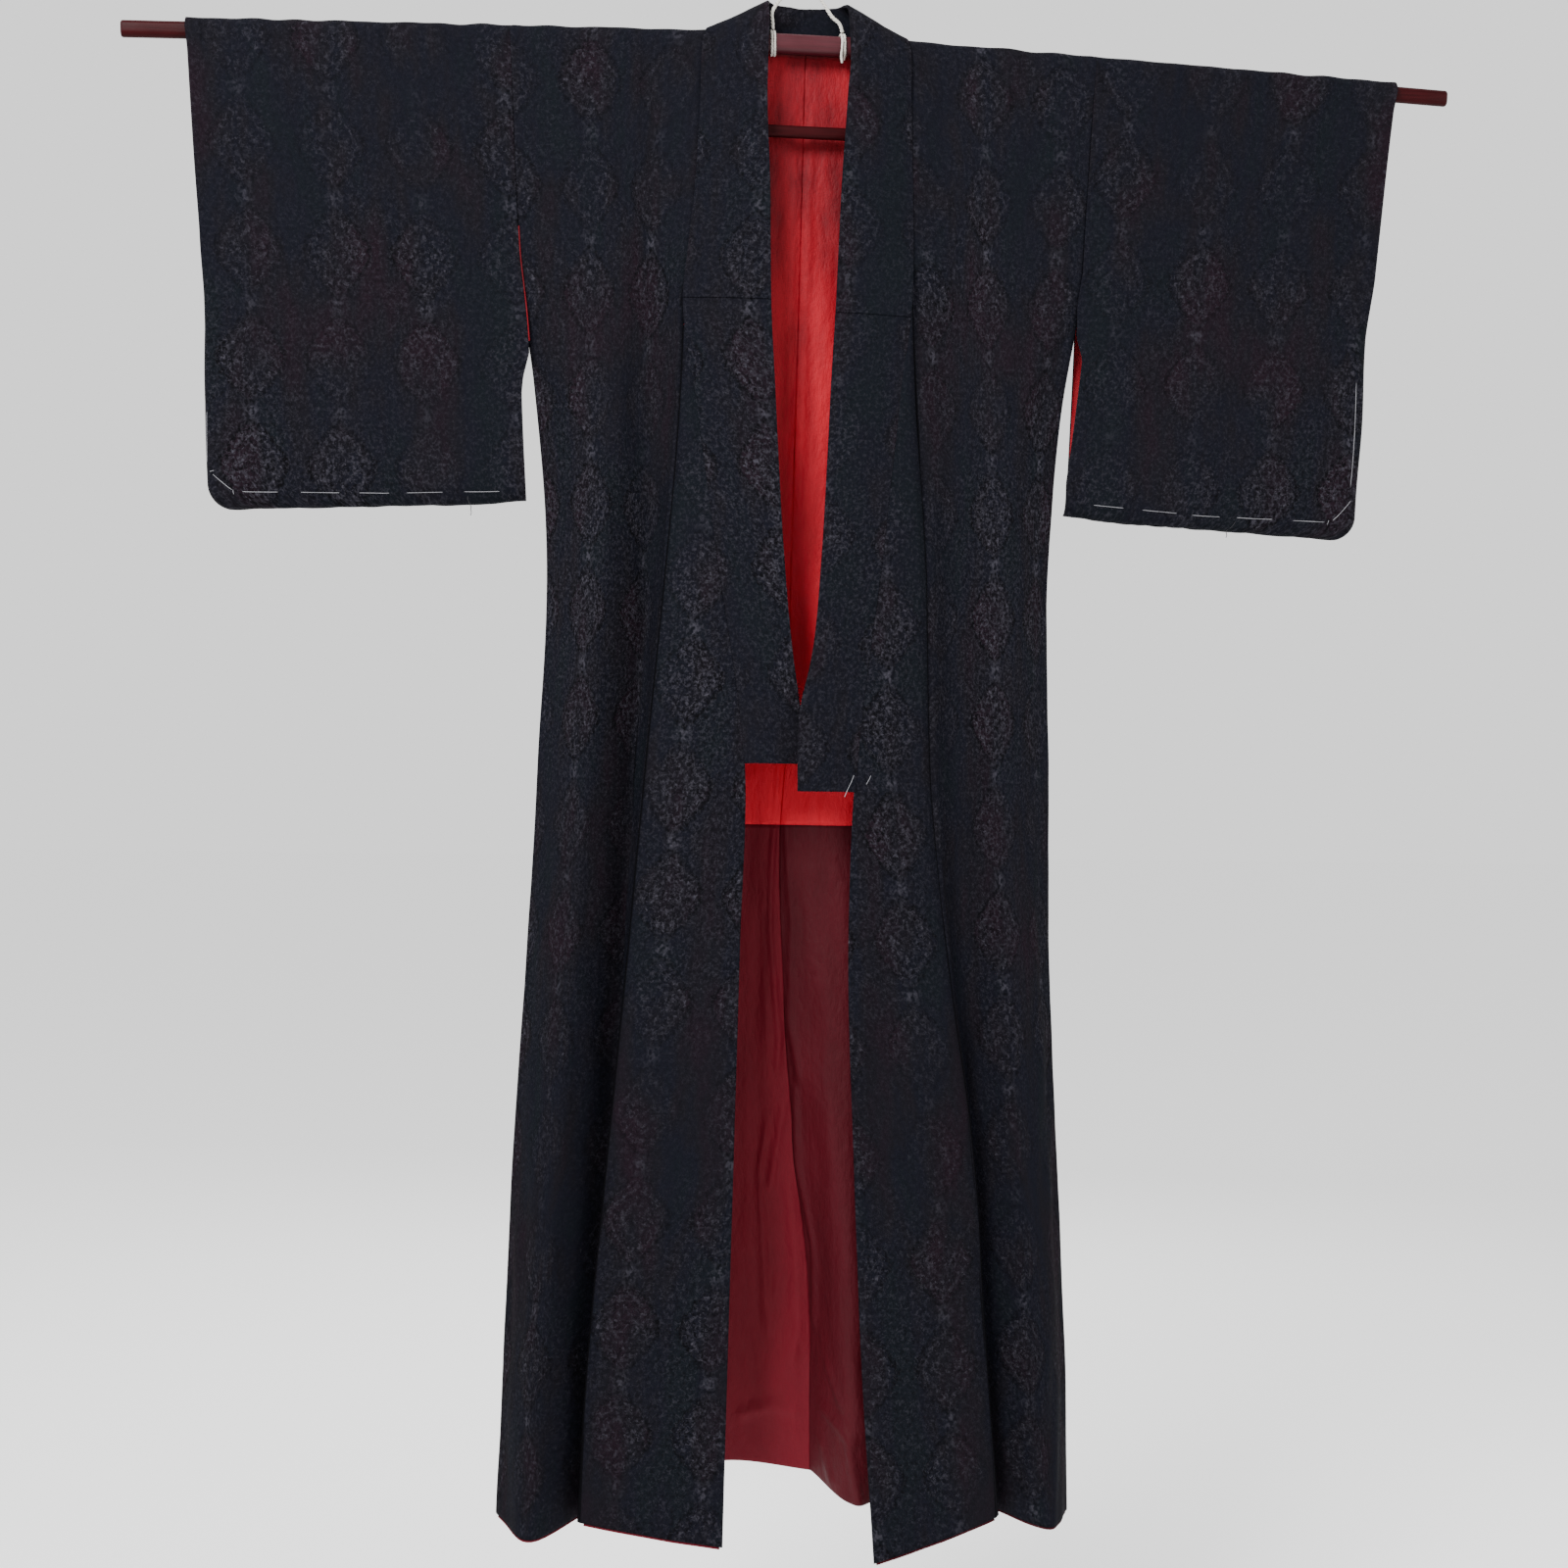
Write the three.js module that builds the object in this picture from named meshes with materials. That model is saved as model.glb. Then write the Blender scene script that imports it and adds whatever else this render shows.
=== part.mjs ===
// A lined kimono hung open on a telescopic lacquered hanger.
// Millimetres, +Z up, the front faces -Y and left is -X. The origin is the top of the hanger's cord loop.
// "drop" is a height measured down from the hanger bar's centre line.
import * as THREE from "three";

// ---- Driving dimensions ------------------------------------------------------------------------

const BAR_DROP = 77; // bar centre line below the top of the cord loop
const BAR_SHIFT = 6; // the bar hangs a little to the right of the loop's top
const FACE_WALL = 1.2;
const LINING_WALL = 1.0;
const COLLAR_WALL = 2.4;
const GAP = 0.3; // between pieces at seams and between layers
const FLAT_SEAM = GAP / 2;
const FOLDED_SEAM = 1.3; // inset where two panels meet at an angle
const COLLAR_SEAM = 0.6; // the collar is thicker, so it stands off a little more
const LINING_SEAM = 1.5; // the lining at the centre back and at its own borders
const FUKI = 2; // the lining rolls out below the hem

const BODY_WIDTH = 300; // back panel, from the centre back seam to the side seam
const OKUMI_SEAM = 60; // across the body cloth where the okumi is sewn on
const NECK_POINT = 95; // across the body cloth where the collar crosses the shoulder
const SLEEVE_WIDTH = 330;
const ARMHOLE_DROP = 225; // the sleeve is sewn on down to here
const SIDE_SEAM_DROP = 365; // below the side opening
const KENSAKI_DROP = 277; // the okumi's pointed upper end
const COLLAR_END_DROP = { left: 756, right: 784 };
const WAIST_DROP = 820; // the red lining ends and the wine skirt lining begins
const OVER_COLLAR_EXTRA = 11; // how much lower the over-collar ends on the right front
const OVER_COLLAR_WALL = 1.0;

const BAR = { half: 85, height: 20.6, width: 15 };
const ARM = { from: 85.6, to: 701, height: 17, width: 11, drop: 2, slope: 0.0308 };
const LOWER_BAR = { half: 78, height: 13, width: 9, drop: 92 };
const LINK = { x: 62, width: 8, depth: 4 };
const CORD_DIAMETER = 4;
const TIE = { x: 37, width: 6, wall: 3 }; // the cord is bound round the bar here
const SHOULDER_RADIUS = 12; // the cloth's bend over the arms
const CLOTH_ON_ARM = 3.4; // from the top of an arm to the middle of the face cloth
const NECKLINE_DROP = 6;

const SIDES = { left: -1, right: 1 };

// ---- Tables ------------------------------------------------------------------------------------
// Each column is a vertical thread of the cloth, given where it lies in plan at a drop.
// Distances out from the centre are positive on both sides, depths are positive to the back.

// how far out the front's threads lie: collar seam then front edge, okumi seam, hidden valley,
// rounded flute, side
const FRONT_OUT = {
  left: [
    { drop: 0, edge: 110, seam: 110, fold: 121, lobe: 203, side: 310 },
    { drop: 160, edge: 117, seam: 117, fold: 146, lobe: 205, side: 302 },
    { drop: 277, edge: 128, seam: 128, fold: 152, lobe: 206, side: 293 },
    { drop: 370, edge: 115, seam: 131, fold: 154, lobe: 206, side: 280 },
    { drop: 540, edge: 91, seam: 143, fold: 156, lobe: 208, side: 265 },
    { drop: 756, edge: 61, seam: 162, fold: 164, lobe: 220, side: 271 },
    { drop: 940, edge: 64, seam: 177, fold: 172, lobe: 232, side: 279 },
    { drop: 1160, edge: 68, seam: 196, fold: 184, lobe: 245, side: 291 },
    { drop: 1380, edge: 72, seam: 214, fold: 196, lobe: 258, side: 298 },
    { drop: 1560, edge: 75, seam: 222, fold: 202, lobe: 264, side: 304 },
  ],
  right: [
    { drop: 0, edge: 106, seam: 106, fold: 117, lobe: 198, side: 308 },
    { drop: 160, edge: 110, seam: 110, fold: 142, lobe: 200, side: 299 },
    { drop: 277, edge: 109, seam: 112, fold: 148, lobe: 202, side: 292 },
    { drop: 370, edge: 98, seam: 117, fold: 152, lobe: 204, side: 278 },
    { drop: 540, edge: 79, seam: 129, fold: 156, lobe: 210, side: 264 },
    { drop: 784, edge: 51, seam: 138, fold: 162, lobe: 214, side: 267 },
    { drop: 940, edge: 47, seam: 155, fold: 166, lobe: 222, side: 269 },
    { drop: 1160, edge: 55, seam: 187, fold: 184, lobe: 238, side: 280 },
    { drop: 1380, edge: 66, seam: 204, fold: 200, lobe: 254, side: 292 },
    { drop: 1580, edge: 81, seam: 222, fold: 212, lobe: 266, side: 297 },
  ],
};

// how far forward or back those threads lie
const FRONT_DEPTH = {
  left: [
    { drop: 0, edge: -14, seam: -14, fold: -12, lobe: -12, side: -12 },
    { drop: 225, edge: -22, seam: -21, fold: -13, lobe: -18, side: -12 },
    { drop: 370, edge: -29, seam: -26, fold: -9, lobe: -24, side: -4 },
    { drop: 540, edge: -42, seam: -34, fold: -4, lobe: -34, side: -8 },
    { drop: 756, edge: -56, seam: -40, fold: 0, lobe: -42, side: -12 },
    { drop: 1050, edge: -66, seam: -44, fold: 2, lobe: -50, side: -14 },
    { drop: 1300, edge: -72, seam: -46, fold: 2, lobe: -55, side: -16 },
    { drop: 1560, edge: -78, seam: -48, fold: 0, lobe: -58, side: -18 },
  ],
  right: [
    { drop: 0, edge: -14, seam: -14, fold: -12, lobe: -12, side: -12 },
    { drop: 225, edge: -24, seam: -21, fold: -15, lobe: -17, side: -12 },
    { drop: 370, edge: -33, seam: -26, fold: -14, lobe: -22, side: -4 },
    { drop: 540, edge: -48, seam: -34, fold: -14, lobe: -30, side: -8 },
    { drop: 784, edge: -64, seam: -40, fold: -13, lobe: -36, side: -12 },
    { drop: 1050, edge: -68, seam: -44, fold: -11, lobe: -42, side: -14 },
    { drop: 1300, edge: -74, seam: -46, fold: -9, lobe: -46, side: -16 },
    { drop: 1580, edge: -80, seam: -48, fold: -8, lobe: -50, side: -18 },
  ],
};

// the back's threads: centre back seam, a fold that comes forward beside it, middle, back flute.
// "centre" is the seam's place from left to right, shared by both sides
const CENTRE_BACK = [
  { drop: 0, centre: 0, depth: 17 },
  { drop: 280, centre: -3, depth: 21 },
  { drop: 540, centre: -7, depth: 26 },
  { drop: 756, centre: -10, depth: 28 },
  { drop: 820, centre: -14, depth: 28 },
  { drop: 1000, centre: -8, depth: 27 },
  { drop: 1160, centre: 5, depth: 26 },
  { drop: 1300, centre: 22, depth: 24 },
  { drop: 1500, centre: 27, depth: 22 },
];
const BACK_OUT = {
  left: [
    { drop: 0, crest: 62, mid: 132, rear: 222 },
    { drop: 370, crest: 62, mid: 128, rear: 212 },
    { drop: 756, crest: 62, mid: 126, rear: 214 },
    { drop: 1160, crest: 58, mid: 138, rear: 238 },
    { drop: 1560, crest: 52, mid: 146, rear: 256 },
  ],
  right: [
    { drop: 0, crest: 62, mid: 132, rear: 222 },
    { drop: 370, crest: 58, mid: 126, rear: 212 },
    { drop: 756, crest: 48, mid: 118, rear: 210 },
    { drop: 1160, crest: 56, mid: 128, rear: 232 },
    { drop: 1560, crest: 68, mid: 142, rear: 252 },
  ],
};
const BACK_DEPTH = {
  left: [
    { drop: 0, crest: 14.5, mid: 12.5, rear: 12 },
    { drop: 370, crest: 24, mid: 22, rear: 18 },
    { drop: 756, crest: 30, mid: 30, rear: 25 },
    { drop: 1160, crest: 34, mid: 28, rear: 29 },
    { drop: 1560, crest: 36, mid: 22, rear: 30 },
  ],
  right: [
    { drop: 0, crest: 14.5, mid: 12.5, rear: 12 },
    { drop: 370, crest: 17, mid: 21, rear: 18 },
    { drop: 756, crest: 12, mid: 26, rear: 25 },
    { drop: 1160, crest: -14, mid: 24, rear: 28 },
    { drop: 1560, crest: -50, mid: 14, rear: 30 },
  ],
};

// how far the hem hangs, across each panel
const HEM = {
  left: { edge: 1549, seam: 1530, fold: 1530, lobe: 1543, side: 1528, rear: 1514, mid: 1500, crest: 1495 },
  right: { edge: 1569, seam: 1535, fold: 1536, lobe: 1547, side: 1540, rear: 1522, mid: 1506, crest: 1518 },
};
const HEM_CENTRE_BACK = 1503;

// the collar band: its sewn edge follows the front's edge thread, and this is its free edge
const COLLAR_OPENING = {
  left: [
    { drop: 60, out: 44, depth: -24 },
    { drop: 160, out: 40, depth: -27 },
    { drop: 277, out: 38, depth: -32 },
    { drop: 385, out: 32, depth: -38 },
    { drop: 540, out: 23, depth: -49 },
    { drop: 667, out: 10, depth: -57 },
    { drop: 700, out: 5, depth: -58 },
    { drop: 756, out: 1, depth: -60 },
  ],
  right: [
    { drop: 60, out: 40, depth: -24 },
    { drop: 160, out: 34, depth: -29 },
    { drop: 277, out: 29, depth: -36 },
    { drop: 385, out: 23, depth: -44 },
    { drop: 540, out: 15, depth: -57 },
    { drop: 667, out: 1, depth: -68 },
    { drop: 700, out: -7, depth: -71 },
    { drop: 784, out: -9, depth: -77 },
  ],
};
// the free edge as the band turns over the shoulder, by parts of that turn, then along the neckline
// to the centre back, by the place across the body cloth, where it stands up behind the neck
const COLLAR_TURN = [
  { turn: 0, out: 43, depth: -20, drop: 4 },
  { turn: 0.25, out: 42, depth: -15, drop: -20 },
  { turn: 0.5, out: 42, depth: -7, drop: -37 },
  { turn: 0.75, out: 41, depth: 3, drop: -44 },
  { turn: 1, out: 39, depth: 12, drop: -47 },
];
const COLLAR_NAPE = [
  { across: OKUMI_SEAM, out: 32, depth: 21, drop: -48 },
  { across: OKUMI_SEAM / 2, out: 17, depth: 26, drop: -48 },
  { across: 0, out: 0, depth: 27, drop: -47 },
];

// the sleeve's inner edge below the armhole and its outer edge, out from the centre
const SLEEVE_EDGES = {
  left: [
    { drop: 0, inner: 310, outer: 636 },
    { drop: 150, inner: 303, outer: 625 },
    { drop: 270, inner: 297, outer: 615 },
    { drop: 400, inner: 292, outer: 612 },
    { drop: 500, inner: 286, outer: 607 },
  ],
  right: [
    { drop: 0, inner: 308, outer: 641 },
    { drop: 150, inner: 300, outer: 625 },
    { drop: 270, inner: 295, outer: 614 },
    { drop: 400, inner: 291, outer: 608 },
    { drop: 500, inner: 286, outer: 602 },
  ],
};
const SLEEVE_BOTTOM = [
  { across: 0, drop: 485 },
  { across: 25, drop: 492 },
  { across: 150, drop: 498 },
  { across: 330, drop: 504 },
];
const SLEEVE_CORNER = 24; // radius of the rounded outer corner
const SLEEVE_DEPTH = { top: 12, bottom: 15, closing: 28 };

// ---- Rows and columns of the cloth's facets ------------------------------------------------------

// the lining starts and stops at the columns next to a folded seam, clear of the corner inside it
const BODY_COLUMNS = [0, OKUMI_SEAM, 64, 106, 148, 190, 245, 292, BODY_WIDTH];
const FRONT_THREADS = { fold: 106, lobe: 190 };
const BACK_THREADS = { crest: 60, mid: 130, rear: 220 };
const LOWER_DROPS = [1460, 1380, 1270, 1160, 1050, 940, WAIST_DROP];
const UPPER_DROPS = [650, 540, 450, SIDE_SEAM_DROP, KENSAKI_DROP, ARMHOLE_DROP, 160, 60];
const BODY_DROPS = {
  left: [...LOWER_DROPS, COLLAR_END_DROP.left, ...UPPER_DROPS],
  right: [...LOWER_DROPS, COLLAR_END_DROP.right, ...UPPER_DROPS],
};
const OVER_SHOULDER = [0, 0.25, 0.5, 0.75, 1]; // parts of a half turn over the arm
const SLEEVE_COLUMNS = [0, 60, 140, 220, 290, 322, SLEEVE_WIDTH];
const SLEEVE_ROWS = [1, 0.985, 0.955, 0.9, 0.8, 0.64, 0.45, 0.22, 0.08]; // parts of its length
const OKUMI_COLUMNS = [0, 0.34, 0.67, 0.97, 1];
const OKUMI_BELLY = 4; // it bulges forward a little between its edge and its seam
const OKUMI_TIP = 22; // its point is cut off this far below where the seams meet
const COLLAR_COLUMNS = [0, 0.34, 0.68, 1];
const COLLAR_TIP_DROP = 700; // the two fronts' collars cross here

// ---- Curves through the tables -------------------------------------------------------------------

// a smooth curve through values at uneven knots
function smooth(knots, values, at) {
  const last = knots.length - 1;
  const slope = (i) => (values[i + 1] - values[i]) / (knots[i + 1] - knots[i]);
  const tangent = (i) => {
    if (i === 0) return slope(0);
    if (i === last) return slope(last - 1);
    const before = knots[i] - knots[i - 1];
    const after = knots[i + 1] - knots[i];
    return (slope(i) * before + slope(i - 1) * after) / (before + after);
  };
  if (at <= knots[0]) return values[0] + slope(0) * (at - knots[0]);
  if (at >= knots[last]) return values[last] + slope(last - 1) * (at - knots[last]);
  let i = 0;
  while (at > knots[i + 1]) i += 1;
  const span = knots[i + 1] - knots[i];
  const t = (at - knots[i]) / span;
  const rise = values[i] * (2 * t ** 3 - 3 * t ** 2 + 1) + values[i + 1] * (3 * t ** 2 - 2 * t ** 3);
  return rise + span * (tangent(i) * (t ** 3 - 2 * t ** 2 + t) + tangent(i + 1) * (t ** 3 - t ** 2));
}

function column(table, name, at, key = "drop") {
  return smooth(table.map((row) => row[key]), table.map((row) => row[name]), at);
}

function mix(a, b, t) {
  return a + (b - a) * t;
}

function place(x, y, drop) {
  return new THREE.Vector3(x + BAR_SHIFT, y, -BAR_DROP - drop);
}

// the arms droop a little outwards
function armCentre(x) {
  return ARM.drop + Math.max(0, Math.abs(x) - ARM.from) * ARM.slope;
}

function ridge(x) {
  return armCentre(x) - ARM.height / 2 - CLOTH_ON_ARM;
}

// ---- The drape -----------------------------------------------------------------------------------

// where the front panel begins: at the collar's seam above the okumi's point, then at the okumi seam
function frontStart(drop) {
  const t = Math.min(1, drop / KENSAKI_DROP);
  return mix(NECK_POINT, OKUMI_SEAM, t);
}

// the collar's seam, and below the collar the front's free edge
function frontEdge(side, drop) {
  const name = drop < KENSAKI_DROP ? "seam" : "edge";
  return { x: SIDES[side] * column(FRONT_OUT[side], name, drop), y: column(FRONT_DEPTH[side], name, drop) };
}

function frontPoint(side, across, drop) {
  const knots = [frontStart(drop), FRONT_THREADS.fold, FRONT_THREADS.lobe, BODY_WIDTH];
  const names = ["seam", "fold", "lobe", "side"];
  const out = smooth(knots, names.map((name) => column(FRONT_OUT[side], name, drop)), across);
  const depth = smooth(knots, names.map((name) => column(FRONT_DEPTH[side], name, drop)), across);
  return { x: SIDES[side] * out, y: depth };
}

// front and back hang apart above the side seam, at the sleeve and the opening under it
function sideOpening(drop) {
  const t = Math.max(0, Math.min(1, (drop - ARMHOLE_DROP) / (SIDE_SEAM_DROP - ARMHOLE_DROP)));
  return 24 * (1 - t * t * (3 - 2 * t));
}

function backPoint(side, across, drop) {
  const sign = SIDES[side];
  const names = ["crest", "mid", "rear"];
  const knots = [0, ...names.map((name) => BACK_THREADS[name]), BODY_WIDTH];
  const outs = names.map((name) => sign * column(BACK_OUT[side], name, drop));
  const depths = names.map((name) => column(BACK_DEPTH[side], name, drop));
  const sideOut = sign * column(FRONT_OUT[side], "side", drop);
  const sideDepth = column(FRONT_DEPTH[side], "side", drop) + sideOpening(drop);
  const xs = [column(CENTRE_BACK, "centre", drop), ...outs, sideOut];
  const ys = [column(CENTRE_BACK, "depth", drop), ...depths, sideDepth];
  return { x: smooth(knots, xs, across), y: smooth(knots, ys, across) };
}

function frontHem(side, across) {
  const hem = HEM[side];
  const knots = [OKUMI_SEAM, FRONT_THREADS.fold, FRONT_THREADS.lobe, BODY_WIDTH];
  return smooth(knots, [hem.seam, hem.fold, hem.lobe, hem.side], across);
}

function backHem(side, across) {
  const hem = HEM[side];
  const knots = [0, BACK_THREADS.crest, BACK_THREADS.mid, BACK_THREADS.rear, BODY_WIDTH];
  return smooth(knots, [HEM_CENTRE_BACK, hem.crest, hem.mid, hem.rear, hem.side], across);
}

// one turn of cloth over an arm, between a point in front and one behind it
function overShoulder(front, back, turn) {
  const x = mix(front.x, back.x, turn);
  const angle = Math.PI * turn;
  const reach = (back.y - front.y) / 2;
  const y = (front.y + back.y) / 2 - reach * Math.cos(angle);
  return place(x, y, ridge(x) + SHOULDER_RADIUS * (1 - Math.sin(angle)));
}

// ---- Grids of points -----------------------------------------------------------------------------

// one length of cloth from the front hem over the shoulder to the back hem
function bodyGrid(side) {
  // on the front and shoulder the columns share what lies between the panel's inner edge and its side
  const share = (across, start) => {
    return mix(start, BODY_WIDTH, (across - OKUMI_SEAM) / (BODY_WIDTH - OKUMI_SEAM));
  };
  const onFront = (across) => across >= OKUMI_SEAM;
  const frontRow = (dropAt) => BODY_COLUMNS.map((across) => {
    if (!onFront(across)) return null;
    const drop = dropAt(across);
    const point = frontPoint(side, share(across, frontStart(drop)), drop);
    return place(point.x, point.y, drop);
  });
  const backRow = (dropAt) => BODY_COLUMNS.map((across) => {
    const drop = dropAt(across);
    const point = backPoint(side, across, drop);
    return place(point.x, point.y, drop);
  });
  const shoulderRow = (turn) => BODY_COLUMNS.map((across) => {
    if (!onFront(across)) return null;
    const at = share(across, NECK_POINT);
    return overShoulder(frontPoint(side, at, 0), backPoint(side, at, 0), turn);
  });
  const neckline = (across) => {
    const x = backPoint(side, across, 0).x;
    const past = Math.max(0, Math.min(1, (across - OKUMI_SEAM) / (BODY_COLUMNS[3] - OKUMI_SEAM)));
    return mix(NECKLINE_DROP, ridge(x) + 2 * SHOULDER_RADIUS, past);
  };
  return [
    frontRow((across) => frontHem(side, across)),
    ...BODY_DROPS[side].map((drop) => frontRow(() => drop)),
    ...OVER_SHOULDER.map(shoulderRow),
    backRow(neckline),
    ...[...BODY_DROPS[side]].reverse().map((drop) => backRow(() => drop)),
    backRow((across) => backHem(side, across)),
  ];
}

// the front overlap panel, from its edge to the okumi seam, pointed at the top
function okumiGrid(side) {
  const hem = HEM[side];
  const row = (edgeDrop, seamDrop) => OKUMI_COLUMNS.map((t) => {
    const drop = mix(edgeDrop, seamDrop, t);
    const edge = frontEdge(side, drop);
    const seam = frontPoint(side, OKUMI_SEAM, drop);
    const belly = OKUMI_BELLY * Math.sin(Math.PI * t) * Math.min(1, drop / WAIST_DROP);
    return place(mix(edge.x, seam.x, t), mix(edge.y, seam.y, t) - belly, drop);
  });
  const drops = BODY_DROPS[side].filter((drop) => drop >= SIDE_SEAM_DROP);
  return [
    row(hem.edge, hem.seam),
    ...drops.map((drop) => row(drop, drop)),
    row(KENSAKI_DROP + OKUMI_TIP, KENSAKI_DROP + OKUMI_TIP),
  ];
}

// the folded band from one front to the other round the back of the neck
function collarGrid() {
  const band = (seam, free) => COLLAR_COLUMNS.map((t) => seam.clone().lerp(free, t));
  const half = (side) => {
    const sign = SIDES[side];
    const down = (drop) => {
      const edge = frontEdge(side, drop);
      const opening = COLLAR_OPENING[side];
      const free = place(sign * column(opening, "out", drop), column(opening, "depth", drop), drop);
      return band(place(edge.x, edge.y, drop), free);
    };
    const over = (row) => {
      const front = frontPoint(side, NECK_POINT, 0);
      const back = backPoint(side, NECK_POINT, 0);
      return band(overShoulder(front, back, row.turn), place(sign * row.out, row.depth, row.drop));
    };
    const behind = (row) => {
      const seam = backPoint(side, row.across, NECKLINE_DROP);
      return band(place(seam.x, seam.y, NECKLINE_DROP), place(sign * row.out, row.depth, row.drop));
    };
    return [
      down(COLLAR_END_DROP[side]),
      ...[COLLAR_TIP_DROP, ...UPPER_DROPS].map(down),
      ...COLLAR_TURN.map(over),
      ...COLLAR_NAPE.map(behind),
    ];
  };
  return [...half("left"), ...half("right").slice(0, -1).reverse()];
}

// a flattened tube folded over the arm, closed below and at the outer edge under the cuff
function sleevePoint(side, across, part, face) {
  const bottom = column(SLEEVE_BOTTOM, "drop", across, "across");
  const drop = bottom * part;
  const seamed = Math.min(drop, ARMHOLE_DROP);
  const bodySide = column(FRONT_OUT[side], "side", seamed);
  const loose = Math.max(0, drop - ARMHOLE_DROP);
  const inner = drop <= ARMHOLE_DROP ? bodySide
    : bodySide + (column(SLEEVE_EDGES[side], "inner", drop) - bodySide) * Math.min(1, loose / 60);
  const below = Math.max(0, drop - (bottom - SLEEVE_CORNER));
  const rounding = SLEEVE_CORNER - Math.sqrt(Math.max(0, SLEEVE_CORNER ** 2 - below ** 2));
  const outer = column(SLEEVE_EDGES[side], "outer", drop) - rounding;
  const out = mix(inner, outer, across / SLEEVE_WIDTH);
  const full = mix(SLEEVE_DEPTH.top, SLEEVE_DEPTH.bottom, part);
  const closedBelow = rounded((bottom - drop) / SLEEVE_DEPTH.closing);
  const cuffEnd = Math.max(0, Math.min(1, (drop - ARMHOLE_DROP) / 60));
  const closedOutside = mix(1, rounded((SLEEVE_WIDTH - across) / SLEEVE_DEPTH.closing), cuffEnd);
  const thin = FACE_WALL / 2 + FLAT_SEAM;
  const depth = thin + (full - thin) * Math.min(closedBelow, closedOutside);
  return { x: SIDES[side] * out, y: face * depth, drop };
}

// a quarter round, from closed at 0 to full at 1
function rounded(t) {
  const open = Math.max(0, Math.min(1, t));
  return Math.sqrt(1 - (1 - open) ** 2);
}

function sleeveGrid(side) {
  const row = (part, face) => SLEEVE_COLUMNS.map((across) => {
    const point = sleevePoint(side, across, part, face);
    return place(point.x, point.y, point.drop);
  });
  const rows = SLEEVE_ROWS.map((part) => row(part, -1));
  for (const turn of OVER_SHOULDER) {
    rows.push(SLEEVE_COLUMNS.map((across) => {
      return overShoulder(sleevePoint(side, across, 0, -1), sleevePoint(side, across, 0, 1), turn);
    }));
  }
  for (const part of [...SLEEVE_ROWS].reverse()) rows.push(row(part, 1));
  return rows;
}

// ---- From grids to closed walls ------------------------------------------------------------------

// the outward direction at each point, lengthened at bends so that a wall keeps its thickness
function outwardOf(grid, facing) {
  const sums = grid.map((row) => row.map(() => new THREE.Vector3()));
  const counts = grid.map((row) => row.map(() => 0));
  for (let r = 0; r + 1 < grid.length; r += 1) {
    for (let c = 0; c + 1 < grid[r].length; c += 1) {
      const corners = [[r, c], [r, c + 1], [r + 1, c + 1], [r + 1, c]];
      if (corners.some(([i, j]) => !grid[i][j])) continue;
      const rise = grid[r + 1][c + 1].clone().sub(grid[r][c]);
      const run = grid[r][c + 1].clone().sub(grid[r + 1][c]);
      const normal = rise.cross(run).normalize().multiplyScalar(facing);
      for (const [i, j] of corners) {
        sums[i][j].add(normal);
        counts[i][j] += 1;
      }
    }
  }
  return sums.map((row, r) => row.map((sum, c) => {
    if (counts[r][c] === 0) return null;
    const mean = sum.multiplyScalar(1 / counts[r][c]);
    const length = Math.max(0.6, mean.length());
    return mean.normalize().multiplyScalar(1 / length);
  }));
}

const everyColumn = () => [0, Infinity];

// part of a grid, its border points drawn in: start and end along its length, first and last across it.
// columns gives the range kept in a row, and first and last are functions that give a row's distance
function cut(grid, { rows = [0, grid.length - 1], columns = everyColumn, first = () => 0, last = () => 0,
  start = 0, end = 0 }) {
  const [from, to] = rows;
  const part = grid.slice(from, to + 1).map((row, r) => row.map((point, c) => {
    const [least, most] = columns(from + r);
    return point && c >= least && c <= most ? point.clone() : null;
  }));
  const toward = (point, neighbour, distance) => {
    if (distance === 0) return point;
    const step = neighbour.clone().sub(point);
    return point.clone().add(step.setLength(Math.min(distance, step.length() * 0.9)));
  };
  const z = part.length - 1;
  part[0] = part[0].map((p, c) => (p && part[1][c] ? toward(p, part[1][c], start) : p));
  part[z] = part[z].map((p, c) => (p && part[z - 1][c] ? toward(p, part[z - 1][c], end) : p));
  return part.map((row, r) => {
    const present = row.map((point, c) => (point ? c : -1)).filter((c) => c >= 0);
    const near = present[0];
    const far = present[present.length - 1];
    return row.map((point, c) => {
      if (c === near) return toward(point, row[near + 1], first(from + r));
      if (c === far) return toward(point, row[far - 1], last(from + r));
      return point;
    });
  });
}

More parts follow.
